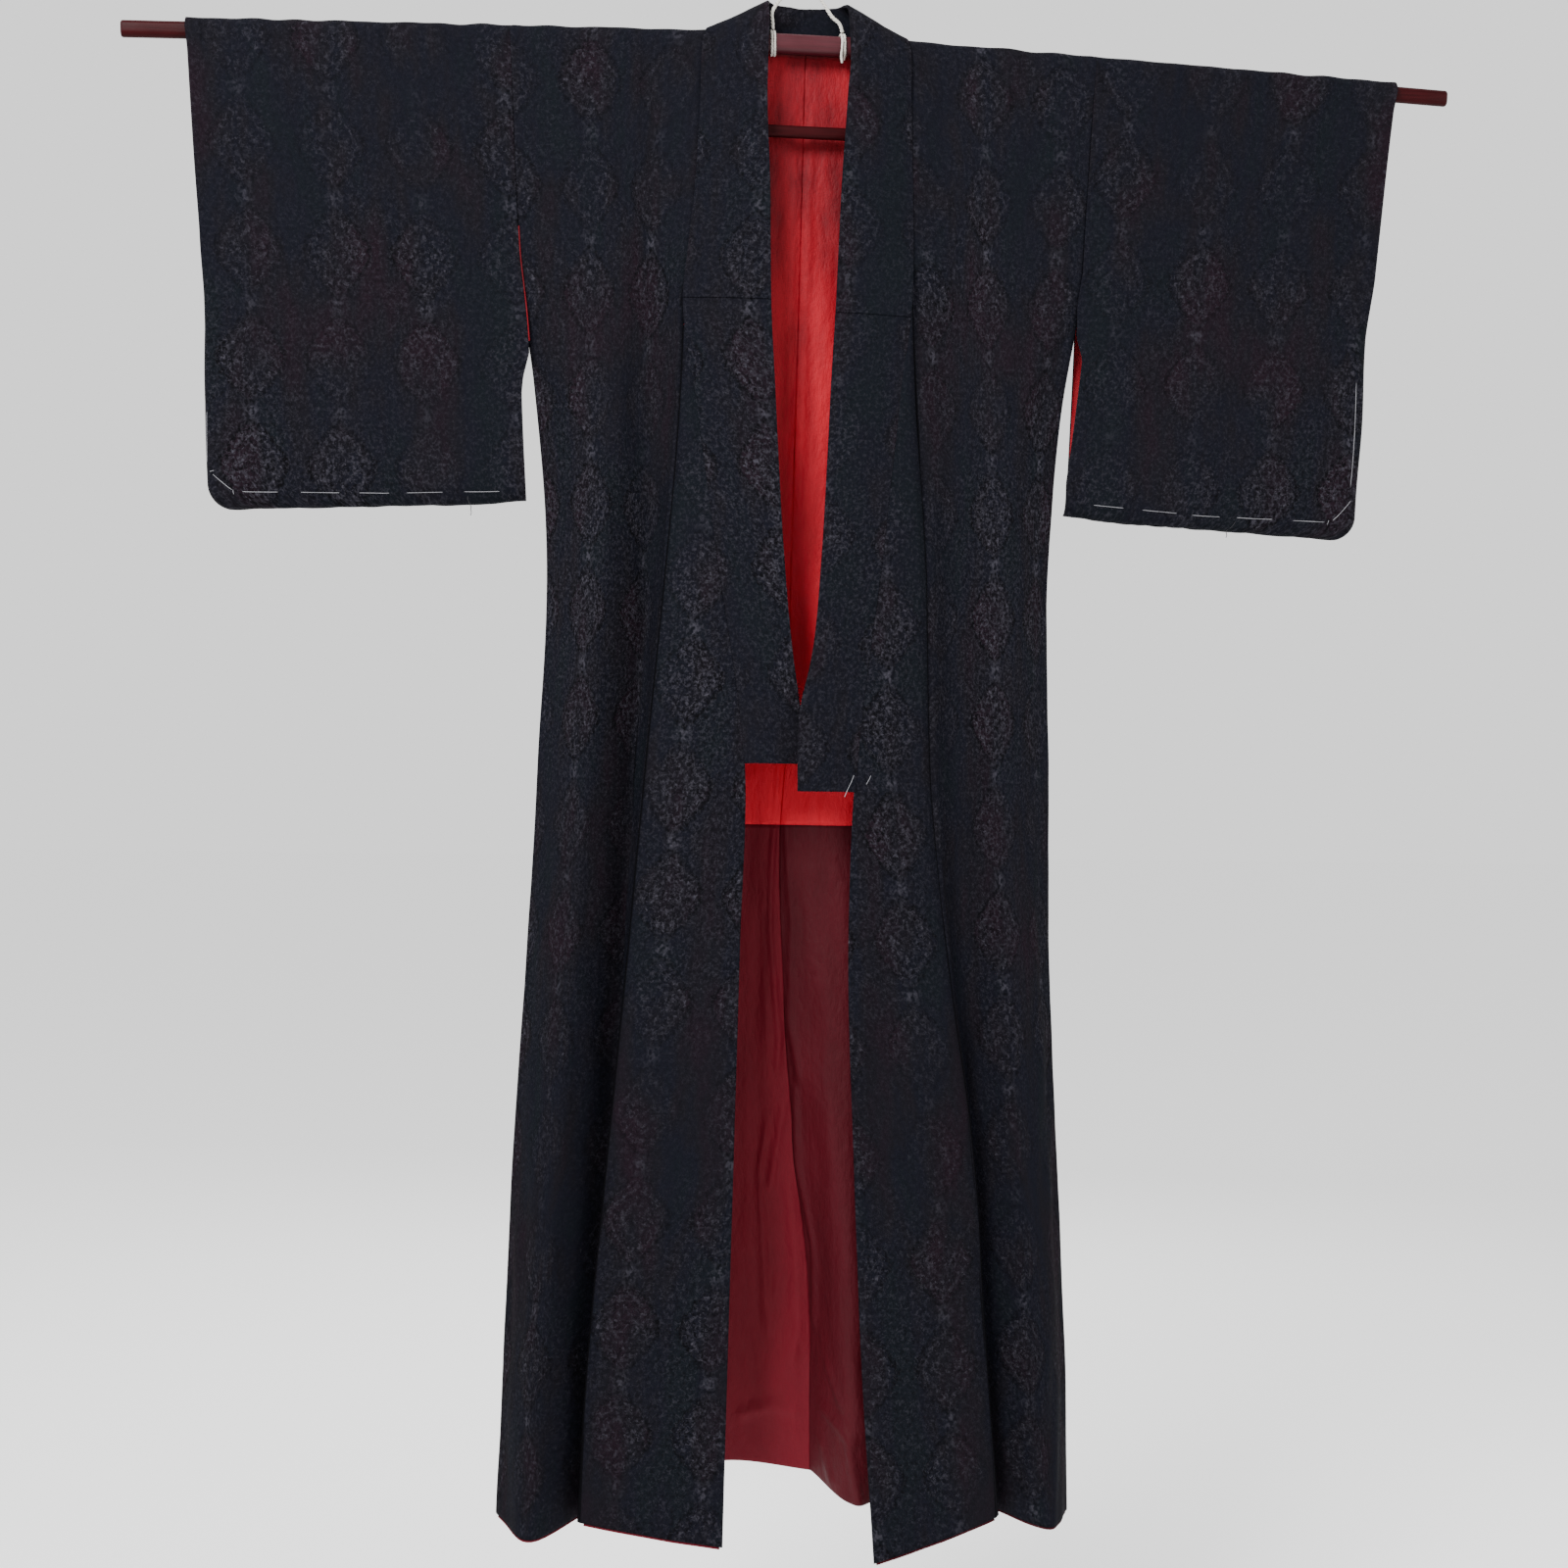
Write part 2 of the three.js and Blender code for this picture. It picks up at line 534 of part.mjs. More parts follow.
// a closed wall between two distances out from a grid, its borders cut back as asked
function wall(grid, outward, facing, inside, outside, trims) {
  const surface = (distance) => cut(grid.map((row, r) => row.map((point, c) => {
    return point && point.clone().addScaledVector(outward[r][c], distance);
  })), trims);
  const outer = surface(outside);
  const inner = surface(inside);
  let next = 0;
  const index = outer.map((row) => row.map((point) => {
    if (!point) return -1;
    next += 1;
    return next - 1;
  }));
  const positions = [outer, inner].flatMap((points) => points.flat().filter(Boolean).flatMap((p) => [p.x, p.y, p.z]));
  const triangles = [];
  const borders = new Map();
  const face = (corners) => {
    for (let i = 1; i + 1 < corners.length; i += 1) {
      const [a, b, c] = [corners[0], corners[i], corners[i + 1]];
      triangles.push(a, b, c, c + next, b + next, a + next);
    }
    corners.forEach((a, i) => {
      const b = corners[(i + 1) % corners.length];
      if (borders.has(`${b},${a}`)) borders.delete(`${b},${a}`);
      else borders.set(`${a},${b}`, [a, b]);
    });
  };
  for (let r = 0; r + 1 < index.length; r += 1) {
    for (let c = 0; c + 1 < index[r].length; c += 1) {
      const corners = [index[r][c], index[r][c + 1], index[r + 1][c + 1], index[r + 1][c]];
      if (corners.some((corner) => corner < 0)) continue;
      face(facing > 0 ? corners.reverse() : corners);
    }
  }
  for (const [a, b] of borders.values()) triangles.push(b, a, a + next, b, a + next, b + next);
  const geometry = new THREE.BufferGeometry();
  geometry.setAttribute("position", new THREE.Float32BufferAttribute(positions, 3));
  geometry.setIndex(triangles);
  geometry.computeVertexNormals();
  return geometry;
}

// ---- Materials -----------------------------------------------------------------------------------

const silk = new THREE.MeshStandardMaterial({ color: 0x1b2430, roughness: 0.75, metalness: 0 });
const redLining = new THREE.MeshStandardMaterial({ color: 0xb81e2a, roughness: 0.55, metalness: 0 });
const wineLining = new THREE.MeshStandardMaterial({ color: 0x5c141f, roughness: 0.6, metalness: 0 });
const lacquer = new THREE.MeshStandardMaterial({ color: 0x56191f, roughness: 0.35, metalness: 0 });
const cotton = new THREE.MeshStandardMaterial({ color: 0xe9e4da, roughness: 0.9, metalness: 0 });

const kimono = new THREE.Group();

function add(name, geometry, material) {
  const mesh = new THREE.Mesh(geometry, material);
  mesh.name = name;
  kimono.add(mesh);
  return mesh;
}

// ---- The cloth pieces ----------------------------------------------------------------------------

const FACE = FACE_WALL / 2;
const LINING = { outside: -(FACE + GAP), inside: -(FACE + GAP + LINING_WALL) };

// a face panel and the lining pieces behind it, each a range of the panel's own rows
function panel(name, grid, facing, trims, linings) {
  const outward = outwardOf(grid, facing);
  add(name, wall(grid, outward, facing, -FACE, FACE, trims), silk);
  for (const lining of linings) {
    add(lining.name, wall(grid, outward, facing, LINING.inside, LINING.outside, lining), lining.material);
  }
}

for (const side of ["left", "right"]) {
  const facing = -SIDES[side];
  const body = bodyGrid(side);
  const last = body.length - 1;
  const waist = 1 + BODY_DROPS[side].indexOf(WAIST_DROP);
  const kensaki = 1 + BODY_DROPS[side].indexOf(KENSAKI_DROP);
  const armhole = 1 + BODY_DROPS[side].indexOf(ARMHOLE_DROP);
  const innerSeam = (r) => (r < kensaki || r > last - kensaki ? FOLDED_SEAM : FLAT_SEAM);
  const sideSeam = (r) => (r >= armhole && r <= last - armhole ? FLAT_SEAM : FOLDED_SEAM);
  const neck = last - 1 - BODY_DROPS[side].length;
  const border = { first: (r) => (r < neck ? 0 : LINING_SEAM), columns: (r) => [r < neck ? 2 : 0, BODY_COLUMNS.length - 2] };
  panel(`body_${side}`, body, facing, { first: innerSeam, last: sideSeam }, [
    { name: `lining_${side}`, material: redLining, ...border,
      rows: [waist, last - waist], start: FLAT_SEAM, end: FLAT_SEAM },
    { name: `skirt_lining_front_${side}`, material: wineLining, ...border,
      rows: [0, waist], start: -FUKI, end: FLAT_SEAM },
    { name: `skirt_lining_back_${side}`, material: wineLining, ...border,
      rows: [last - waist, last], start: FLAT_SEAM, end: -FUKI },
  ]);

  const okumi = okumiGrid(side);
  const okumiBorder = { first: () => FLAT_SEAM, columns: () => [0, OKUMI_COLUMNS.length - 2] };
  panel(`okumi_${side}`, okumi, facing, { first: () => FLAT_SEAM, last: () => FOLDED_SEAM }, [
    { name: `okumi_lining_${side}`, material: redLining, ...okumiBorder,
      rows: [waist, okumi.length - 1], start: FLAT_SEAM, end: FLAT_SEAM },
    { name: `okumi_skirt_lining_${side}`, material: wineLining, ...okumiBorder,
      rows: [0, waist], start: -FUKI, end: FLAT_SEAM },
  ]);

  const sleeve = sleeveGrid(side);
  panel(`sleeve_${side}`, sleeve, facing, { first: () => GAP }, [
    { name: `sleeve_lining_${side}`, material: redLining, first: () => GAP,
      columns: () => [0, SLEEVE_COLUMNS.length - 2], rows: [1, sleeve.length - 2] },
  ]);
}

const collar = collarGrid();
const collarOutward = outwardOf(collar, -1);
const collarHalf = COLLAR_WALL / 2;
add("collar", wall(collar, collarOutward, -1, -collarHalf, collarHalf, { first: () => COLLAR_SEAM }), silk);

// a second, shorter band lies on the collar round the neck, a little lower on the right front
const overFrom = 2 + UPPER_DROPS.indexOf(KENSAKI_DROP);
const overTrims = {
  rows: [overFrom, collar.length - 1 - overFrom], first: () => COLLAR_SEAM, end: -OVER_COLLAR_EXTRA,
};
const overInside = collarHalf + GAP;
add("over_collar",
  wall(collar, collarOutward, -1, overInside, overInside + OVER_COLLAR_WALL, overTrims), silk);

// ---- The hanger ----------------------------------------------------------------------------------

function stadium(height, width) {
  const shape = new THREE.Shape();
  const radius = width / 2;
  const straight = height / 2 - radius;
  shape.absarc(0, straight, radius, 0, Math.PI, false);
  shape.absarc(0, -straight, radius, Math.PI, 2 * Math.PI, false);
  return shape;
}

// the section stands in Y and Z and the bar runs along X from its own origin
function alongX(shape, length) {
  const geometry = new THREE.ExtrudeGeometry(shape, { depth: length, bevelEnabled: false, curveSegments: 6 });
  geometry.rotateY(Math.PI / 2);
  geometry.rotateX(Math.PI / 2);
  return geometry;
}

function addAt(name, geometry, material, x, y, drop) {
  const mesh = add(name, geometry, material);
  mesh.position.copy(place(x, y, drop));
  return mesh;
}

addAt("bar_center", alongX(stadium(BAR.height, BAR.width), 2 * BAR.half), lacquer, -BAR.half, 0, 0);
addAt("lower_bar", alongX(stadium(LOWER_BAR.height, LOWER_BAR.width), 2 * LOWER_BAR.half), lacquer,
  -LOWER_BAR.half, 0, LOWER_BAR.drop);

const linkTop = BAR.height / 2 + GAP;
const linkBottom = LOWER_BAR.drop - LOWER_BAR.height / 2 - GAP;
const band = stadium(BAR.height + 2 * (GAP + TIE.wall), BAR.width + 2 * (GAP + TIE.wall));
band.holes.push(stadium(BAR.height + 2 * GAP, BAR.width + 2 * GAP));
for (const [side, sign] of Object.entries(SIDES)) {
  const arm = addAt(`arm_${side}`, alongX(stadium(ARM.height, ARM.width), ARM.to - ARM.from), lacquer,
    sign * ARM.from, 0, armCentre(ARM.from));
  arm.rotation.y = sign > 0 ? Math.atan(ARM.slope) : Math.PI - Math.atan(ARM.slope);
  addAt(`link_${side}`, new THREE.BoxGeometry(LINK.width, LINK.depth, linkBottom - linkTop), lacquer,
    sign * LINK.x, 0, (linkTop + linkBottom) / 2);
  addAt(`cord_tie_${side}`, alongX(band, TIE.width), cotton, sign * TIE.x - TIE.width / 2, 0, 0);
}

// the cord rises from one tie, turns over at the top and comes down to the other
const CORD_ROUTE = [
  [-37, -14.7], [-37.4, -22], [-38, -32], [-32.5, -42.5], [-25, -52], [-18, -61.5], [-12.5, -69.5],
  [-9.8, -73.2], [-6, -75], [-2.2, -73.2], [0.6, -69.5], [6, -60.5], [12, -51], [18, -42], [26, -30.5],
  [33.5, -24], [36.8, -14.9],
];
const route = new THREE.CatmullRomCurve3(CORD_ROUTE.map(([x, drop]) => place(x, 0, drop)), false, "centripetal");
const cordSection = new THREE.Shape();
const cordSides = 8;
for (let i = 0; i < cordSides; i += 1) {
  const angle = (2 * Math.PI * i) / cordSides;
  const point = [Math.cos(angle) * CORD_DIAMETER / 2, Math.sin(angle) * CORD_DIAMETER / 2];
  if (i === 0) cordSection.moveTo(...point);
  else cordSection.lineTo(...point);
}
cordSection.closePath();
add("hang_cord", new THREE.ExtrudeGeometry(cordSection, {
  steps: 36, extrudePath: route, bevelEnabled: false,
}), cotton);

export default kimono;
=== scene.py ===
"""The looks of a lined kimono that hangs open on a lacquered hanger, in metres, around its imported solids."""

import math

import bmesh
import bpy
import numpy as np
from mathutils import Matrix, Vector


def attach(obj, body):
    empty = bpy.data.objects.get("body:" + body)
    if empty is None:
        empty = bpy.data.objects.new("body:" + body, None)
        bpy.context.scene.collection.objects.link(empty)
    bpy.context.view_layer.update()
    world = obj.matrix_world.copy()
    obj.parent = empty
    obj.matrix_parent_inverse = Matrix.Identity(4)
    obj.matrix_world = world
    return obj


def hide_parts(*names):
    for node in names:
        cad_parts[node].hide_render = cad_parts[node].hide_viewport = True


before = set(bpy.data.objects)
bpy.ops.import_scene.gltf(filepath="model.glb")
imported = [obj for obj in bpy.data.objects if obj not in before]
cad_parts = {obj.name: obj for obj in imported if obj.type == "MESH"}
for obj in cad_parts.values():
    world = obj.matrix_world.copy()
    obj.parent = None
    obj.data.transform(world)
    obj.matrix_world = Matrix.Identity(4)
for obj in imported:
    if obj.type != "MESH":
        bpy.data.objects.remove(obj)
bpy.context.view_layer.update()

MM = 0.001
ROOT = "root"

# ---- Camera ------------------------------------------------------------------------------------

LENS = 48.1  # millimetres, before a sensor 36 wide
CAMERA_PLACE = (-0.2571, -2.1859, -0.8537)
camera_data = bpy.data.cameras.new("camera")
camera_data.sensor_width = 36
camera_data.lens = LENS
camera = bpy.data.objects.new("camera", camera_data)
bpy.context.scene.collection.objects.link(camera)
bpy.context.scene.camera = camera
TURNED = math.radians(6.5)  # the camera stands a little to the left
TILTED = math.radians(0.8)
ahead = Vector((math.sin(TURNED), math.cos(TURNED), 0))
right = Vector((math.cos(TURNED), -math.sin(TURNED), 0)) * math.cos(TILTED)
right += Vector((0, 0, 1)) * math.sin(TILTED)
above = right.cross(ahead)
turn = Matrix((right, above, -ahead)).transposed()
camera.matrix_world = Matrix.Translation(CAMERA_PLACE) @ turn.to_4x4()

# ---- Sizes, in millimetres ------------------------------------------------------------------------

BAR_DROP = 77
BAR_SHIFT = 6
FACE_WALL = 1.2
LINING_WALL = 0.9
LINING_BEHIND = 1.4
OKUMI_USUAL = 120  # an okumi's width as its sewn edges see it
COLLAR_WALL = 2.4
COLLAR_CROWN = 1.4  # how far the folded collar bulges
OVER_COLLAR_DROP = {"left": 277, "right": 288}
LINING_ROOM = 4.2  # a sleeve's lining stops where its two faces come nearer than this to its middle
BODY_WIDTH = 300
OKUMI_SEAM = 60
NECK_POINT = 95
SLEEVE_WIDTH = 330
ARMHOLE_DROP = 225
SIDE_SEAM_DROP = 365
KENSAKI_DROP = 277
COLLAR_END_DROP = {"left": 756, "right": 784}
WAIST_DROP = 820
LOWEST_DROP = 1460
SHOULDER_RADIUS = 12
CLOTH_ON_ARM = 3.4
NECKLINE_DROP = 6
YOKE_DROP = 60  # above it the rows spread over the shoulder
HEM_REACH = 80  # about how far the rows above the hem lie aslant
SIDE_OPENING = 24  # how far the back stands off the front between armhole and side seam
BAR = {"half": 85, "height": 20.6, "width": 15}
ARM = {"from": 85.6, "to": 701, "height": 17, "width": 11, "drop": 2, "slope": 0.0308}
LOWER_BAR = {"half": 78, "height": 13, "width": 9, "drop": 92}
LINK = {"x": 62, "width": 8, "depth": 4}
TIE_X = 37
SIDES = {"left": -1, "right": 1}


def table(names, *rows):
    """A short table, by the names of its columns."""
    return {name: np.array(values, float) for name, values in zip(names.split(), zip(*rows))}


# how far out the front's threads lie at each drop below the bar
FRONT_OUT = {
    "left": table(
        "drop edge seam fold lobe side",
        (0, 110, 110, 121, 203, 310), (160, 117, 117, 146, 205, 302), (277, 128, 128, 152, 206, 293),
        (370, 115, 131, 154, 206, 280), (540, 91, 143, 156, 208, 265), (756, 61, 162, 164, 220, 271),
        (940, 64, 177, 172, 232, 279), (1160, 68, 196, 184, 245, 291), (1380, 72, 214, 196, 258, 298),
        (1560, 75, 222, 202, 264, 304),
    ),
    "right": table(
        "drop edge seam fold lobe side",
        (0, 106, 106, 117, 198, 308), (160, 110, 110, 142, 200, 299), (277, 109, 112, 148, 202, 292),
        (370, 98, 117, 152, 204, 278), (540, 79, 129, 156, 210, 264), (784, 51, 138, 162, 214, 267),
        (940, 47, 155, 166, 222, 269), (1160, 55, 187, 184, 238, 280), (1380, 66, 204, 200, 254, 292),
        (1580, 81, 222, 212, 266, 297),
    ),
}
# how far forward (below zero) or back they lie
FRONT_DEPTH = {
    "left": table(
        "drop edge seam fold lobe side",
        (0, -14, -14, -12, -12, -12), (225, -22, -21, -13, -18, -12), (370, -29, -26, -9, -24, -4),
        (540, -42, -34, -4, -34, -8), (756, -56, -40, 0, -42, -12), (1050, -66, -44, 2, -50, -14),
        (1300, -72, -46, 2, -55, -16), (1560, -78, -48, 0, -58, -18),
    ),
    "right": table(
        "drop edge seam fold lobe side",
        (0, -14, -14, -12, -12, -12), (225, -24, -21, -15, -17, -12), (370, -33, -26, -14, -22, -4),
        (540, -48, -34, -14, -30, -8), (784, -64, -40, -13, -36, -12), (1050, -68, -44, -11, -42, -14),
        (1300, -74, -46, -9, -46, -16), (1580, -80, -48, -8, -50, -18),
    ),
}
CENTRE_BACK = table(
    "drop centre depth",
    (0, 0, 17), (280, -3, 21), (540, -7, 26), (756, -10, 28), (820, -14, 28), (1000, -8, 27),
    (1160, 5, 26), (1300, 22, 24), (1500, 27, 22),
)
BACK_OUT = {
    "left": table(
        "drop crest mid rear",
        (0, 62, 132, 222), (370, 62, 128, 212), (756, 62, 126, 214), (1160, 58, 138, 238),
        (1560, 52, 146, 256),
    ),
    "right": table(
        "drop crest mid rear",
        (0, 62, 132, 222), (370, 58, 126, 212), (756, 48, 118, 210), (1160, 56, 128, 232),
        (1560, 68, 142, 252),
    ),
}
BACK_DEPTH = {
    "left": table(
        "drop crest mid rear",
        (0, 14.5, 12.5, 12), (370, 24, 22, 18), (756, 30, 30, 25), (1160, 34, 28, 29), (1560, 36, 22, 30),
    ),
    "right": table(
        "drop crest mid rear",
        (0, 14.5, 12.5, 12), (370, 17, 21, 18), (756, 12, 26, 25), (1160, -14, 24, 28), (1560, -50, 14, 30),
    ),
}
HEM_THREADS = ("edge", "seam", "fold", "lobe", "side", "rear", "mid", "crest")
HEM = {
    "left": dict(zip(HEM_THREADS, (1549, 1530, 1530, 1543, 1528, 1514, 1500, 1495))),
    "right": dict(zip(HEM_THREADS, (1569, 1535, 1536, 1547, 1540, 1522, 1506, 1518))),
}
HEM_CENTRE_BACK = 1503
COLLAR_OPENING = {
    "left": table(
        "drop out depth",
        (60, 44, -24), (160, 40, -27), (277, 38, -32), (385, 32, -38), (540, 23, -49), (667, 10, -57),
        (700, 5, -58), (756, 1, -60),
    ),
    "right": table(
        "drop out depth",
        (60, 40, -24), (160, 34, -29), (277, 29, -36), (385, 23, -44), (540, 15, -57), (667, 1, -68),
        (700, -7, -71), (784, -9, -77),
    ),
}
COLLAR_TURN = table(
    "turn out depth drop",
    (0, 43, -20, 4), (0.25, 42, -15, -20), (0.5, 42, -7, -37), (0.75, 41, 3, -44), (1, 39, 12, -47),
)
COLLAR_NAPE = table("across out depth drop", (60, 32, 21, -48), (30, 17, 26, -48), (0, 0, 27, -47))
COLLAR_DROPS = (700, 650, 540, 450, 365, 277, 225, 160, 60)
SLEEVE_EDGES = {
    "left": table(
        "drop inner outer", (0, 310, 636), (150, 303, 625), (270, 297, 615), (400, 292, 612), (500, 286, 607)
    ),
    "right": table(
        "drop inner outer", (0, 308, 641), (150, 300, 625), (270, 295, 614), (400, 291, 608), (500, 286, 602)
    ),
}
SLEEVE_BOTTOM = table("across drop", (0, 486.5), (25, 489.5), (150, 496), (330, 504))
SLEEVE_CORNER = 24
# how far the free front edge is drawn off the lining (above zero) or hangs over it, by drop
DRAWN = {
    "left": table("drop far", (0, 0), (228, 0), (262, -4), (300, -7), (336, -9), (362, -2), (380, 0)),
    "right": table(
        "drop far", (0, 0), (228, 0), (262, -5), (300, -4), (322, 3), (455, -8), (486, -6), (505, 0)
    ),
}
DRAWN_REACH = 32
RED_EDGE = {"left": (206, 326), "right": (0, 0)}  # where the lining's edge shows beside the armhole
SLEEVE_DEPTH = {"top": 12, "bottom": 15, "closing": 28}
FRONT_THREADS = {"fold": 106, "lobe": 190}
BACK_THREADS = {"crest": 60, "mid": 130, "rear": 220}

# ---- The drape -------------------------------------------------------------------------------------


def smooth(knots, values, at):
    """A smooth curve through values at uneven knots, read at many places at once."""
    at = np.asarray(at, float)
    flat = at.ravel()
    knots = np.array([np.broadcast_to(np.asarray(k, float), at.shape).ravel() for k in knots])
    values = np.array([np.broadcast_to(np.asarray(v, float), at.shape).ravel() for v in values])
    step = np.diff(knots, axis=0)
    slope = np.diff(values, axis=0) / step
    inner = (slope[1:] * step[:-1] + slope[:-1] * step[1:]) / (step[1:] + step[:-1])
    tangent = np.concatenate([slope[:1], inner, slope[-1:]])
    i = np.clip((flat > knots).sum(axis=0) - 1, 0, len(knots) - 2)

    def pick(rows, k):
        return np.take_along_axis(rows, k[None], 0)[0]

    span = pick(step, i)
    t = (flat - pick(knots, i)) / span
    a, b = pick(values, i), pick(values, i + 1)
    bends = pick(tangent, i) * (t**3 - 2 * t**2 + t) + pick(tangent, i + 1) * (t**3 - t**2)
    curve = a * (2 * t**3 - 3 * t**2 + 1) + b * (3 * t**2 - 2 * t**3) + span * bends
    curve = np.where(t < 0, a + pick(slope, i) * span * t, curve)
    curve = np.where(t > 1, b + pick(slope, i) * span * (t - 1), curve)
    return curve.reshape(at.shape)


def column(rows, name, at, key="drop"):
    return smooth(rows[key], rows[name], at)


def mix(a, b, t):
    return a + (b - a) * t


def hung(x, y, drop):
    """A place given from the bar's middle and down from it, in the part's own frame."""
    return (x + BAR_SHIFT, y, -BAR_DROP - drop)


def run_along(path):
    """How far along a path each of its points lies."""
    return np.concatenate([[0], np.cumsum(np.linalg.norm(np.diff(path, axis=0), axis=1))])


def curve_through(points, run, at):
    """A smooth curve through points, read at some distances along it."""
    return np.stack([smooth(run, points[:, k], at) for k in range(3)], axis=1)


def square_to(path, aside):
    """Two directions at each point of a path, square to it and to each other."""
    ahead_of = np.gradient(path, axis=0)
    ahead_of /= np.linalg.norm(ahead_of, axis=1, keepdims=True)
    side_of = np.cross(ahead_of, aside)
    side_of /= np.linalg.norm(side_of, axis=1, keepdims=True)
    return side_of, np.cross(side_of, ahead_of)


def arm_centre(x):
    return ARM["drop"] + np.maximum(0, np.abs(x) - ARM["from"]) * ARM["slope"]


def ridge(x):
    return arm_centre(x) - ARM["height"] / 2 - CLOTH_ON_ARM


def front_start(drop):
    return mix(NECK_POINT, OKUMI_SEAM, np.minimum(1, drop / KENSAKI_DROP))


def front_edge(side, drop):
    """The collar's seam, and below the collar the front's free edge."""
    above_tip = drop < KENSAKI_DROP
    out, depth = FRONT_OUT[side], FRONT_DEPTH[side]
    x = np.where(above_tip, column(out, "seam", drop), column(out, "edge", drop))
    y = np.where(above_tip, column(depth, "seam", drop), column(depth, "edge", drop))
    return SIDES[side] * x, y


def front_point(side, across, drop):
    across, drop = np.broadcast_arrays(np.asarray(across, float), np.asarray(drop, float))
    knots = [front_start(drop), FRONT_THREADS["fold"], FRONT_THREADS["lobe"], BODY_WIDTH]
    names = ("seam", "fold", "lobe", "side")
    out = smooth(knots, [column(FRONT_OUT[side], name, drop) for name in names], across)
    depth = smooth(knots, [column(FRONT_DEPTH[side], name, drop) for name in names], across)
    return SIDES[side] * out, depth


def side_opening(drop):
    t = np.clip((drop - ARMHOLE_DROP) / (SIDE_SEAM_DROP - ARMHOLE_DROP), 0, 1)
    return SIDE_OPENING * (1 - t * t * (3 - 2 * t))


def back_point(side, across, drop):
    across, drop = np.broadcast_arrays(np.asarray(across, float), np.asarray(drop, float))
    sign = SIDES[side]
    names = ("crest", "mid", "rear")
    knots = [0, *(BACK_THREADS[name] for name in names), BODY_WIDTH]
    xs = [column(CENTRE_BACK, "centre", drop), *(sign * column(BACK_OUT[side], name, drop) for name in names)]
    xs.append(sign * column(FRONT_OUT[side], "side", drop))
    ys = [column(CENTRE_BACK, "depth", drop), *(column(BACK_DEPTH[side], name, drop) for name in names)]
    ys.append(column(FRONT_DEPTH[side], "side", drop) + side_opening(drop))
    return smooth(knots, xs, across), smooth(knots, ys, across)


def front_hem(side, across):
    hem = HEM[side]
    knots = (OKUMI_SEAM, FRONT_THREADS["fold"], FRONT_THREADS["lobe"], BODY_WIDTH)
    return smooth(knots, (hem["seam"], hem["fold"], hem["lobe"], hem["side"]), across)


def back_hem(side, across):
    hem = HEM[side]
    knots = (0, BACK_THREADS["crest"], BACK_THREADS["mid"], BACK_THREADS["rear"], BODY_WIDTH)
    return smooth(knots, (HEM_CENTRE_BACK, hem["crest"], hem["mid"], hem["rear"], hem["side"]), across)


def over_shoulder(front, back, turned):
    """A turn of cloth over an arm, between a point in front and one behind it: x, y and drop."""
    x = mix(front[0], back[0], turned)
    reach = (back[1] - front[1]) / 2
    y = (front[1] + back[1]) / 2 - reach * math.cos(math.pi * turned)
    return x, y, ridge(x) + SHOULDER_RADIUS * (1 - math.sin(math.pi * turned))


# ---- Grids: the points of a cloth, where they lie and where they are on the flat cloth ---------------


class Cloth:
    """Rows of points with x, y and drop where the cloth hangs, and across and along on the flat cloth."""

    def __init__(self):
        self.rows, self.kinds = [], []

    def row(self, x, y, drop, across, along, kind="front"):
        values = np.broadcast_arrays(*(np.asarray(v, float) for v in (x, y, drop, across, along)))
        self.rows.append(np.array(values))
        self.kinds.append(kind)

    def done(self):
        values = np.array(self.rows)
        self.points = np.stack(hung(values[:, 0], values[:, 1], values[:, 2]), axis=-1)
        self.across, self.along = values[:, 3], values[:, 4]
        self.behind = (np.array(self.kinds) == "back")[:, None]
        return self


def steps(start, stop, size):
    count = max(2, int(round(abs(stop - start) / size)) + 1)
    return np.linspace(start, stop, count)


SHOULDER_STEPS = np.linspace(0, 1, 13)
OVER_THE_ARM = math.pi * SHOULDER_RADIUS


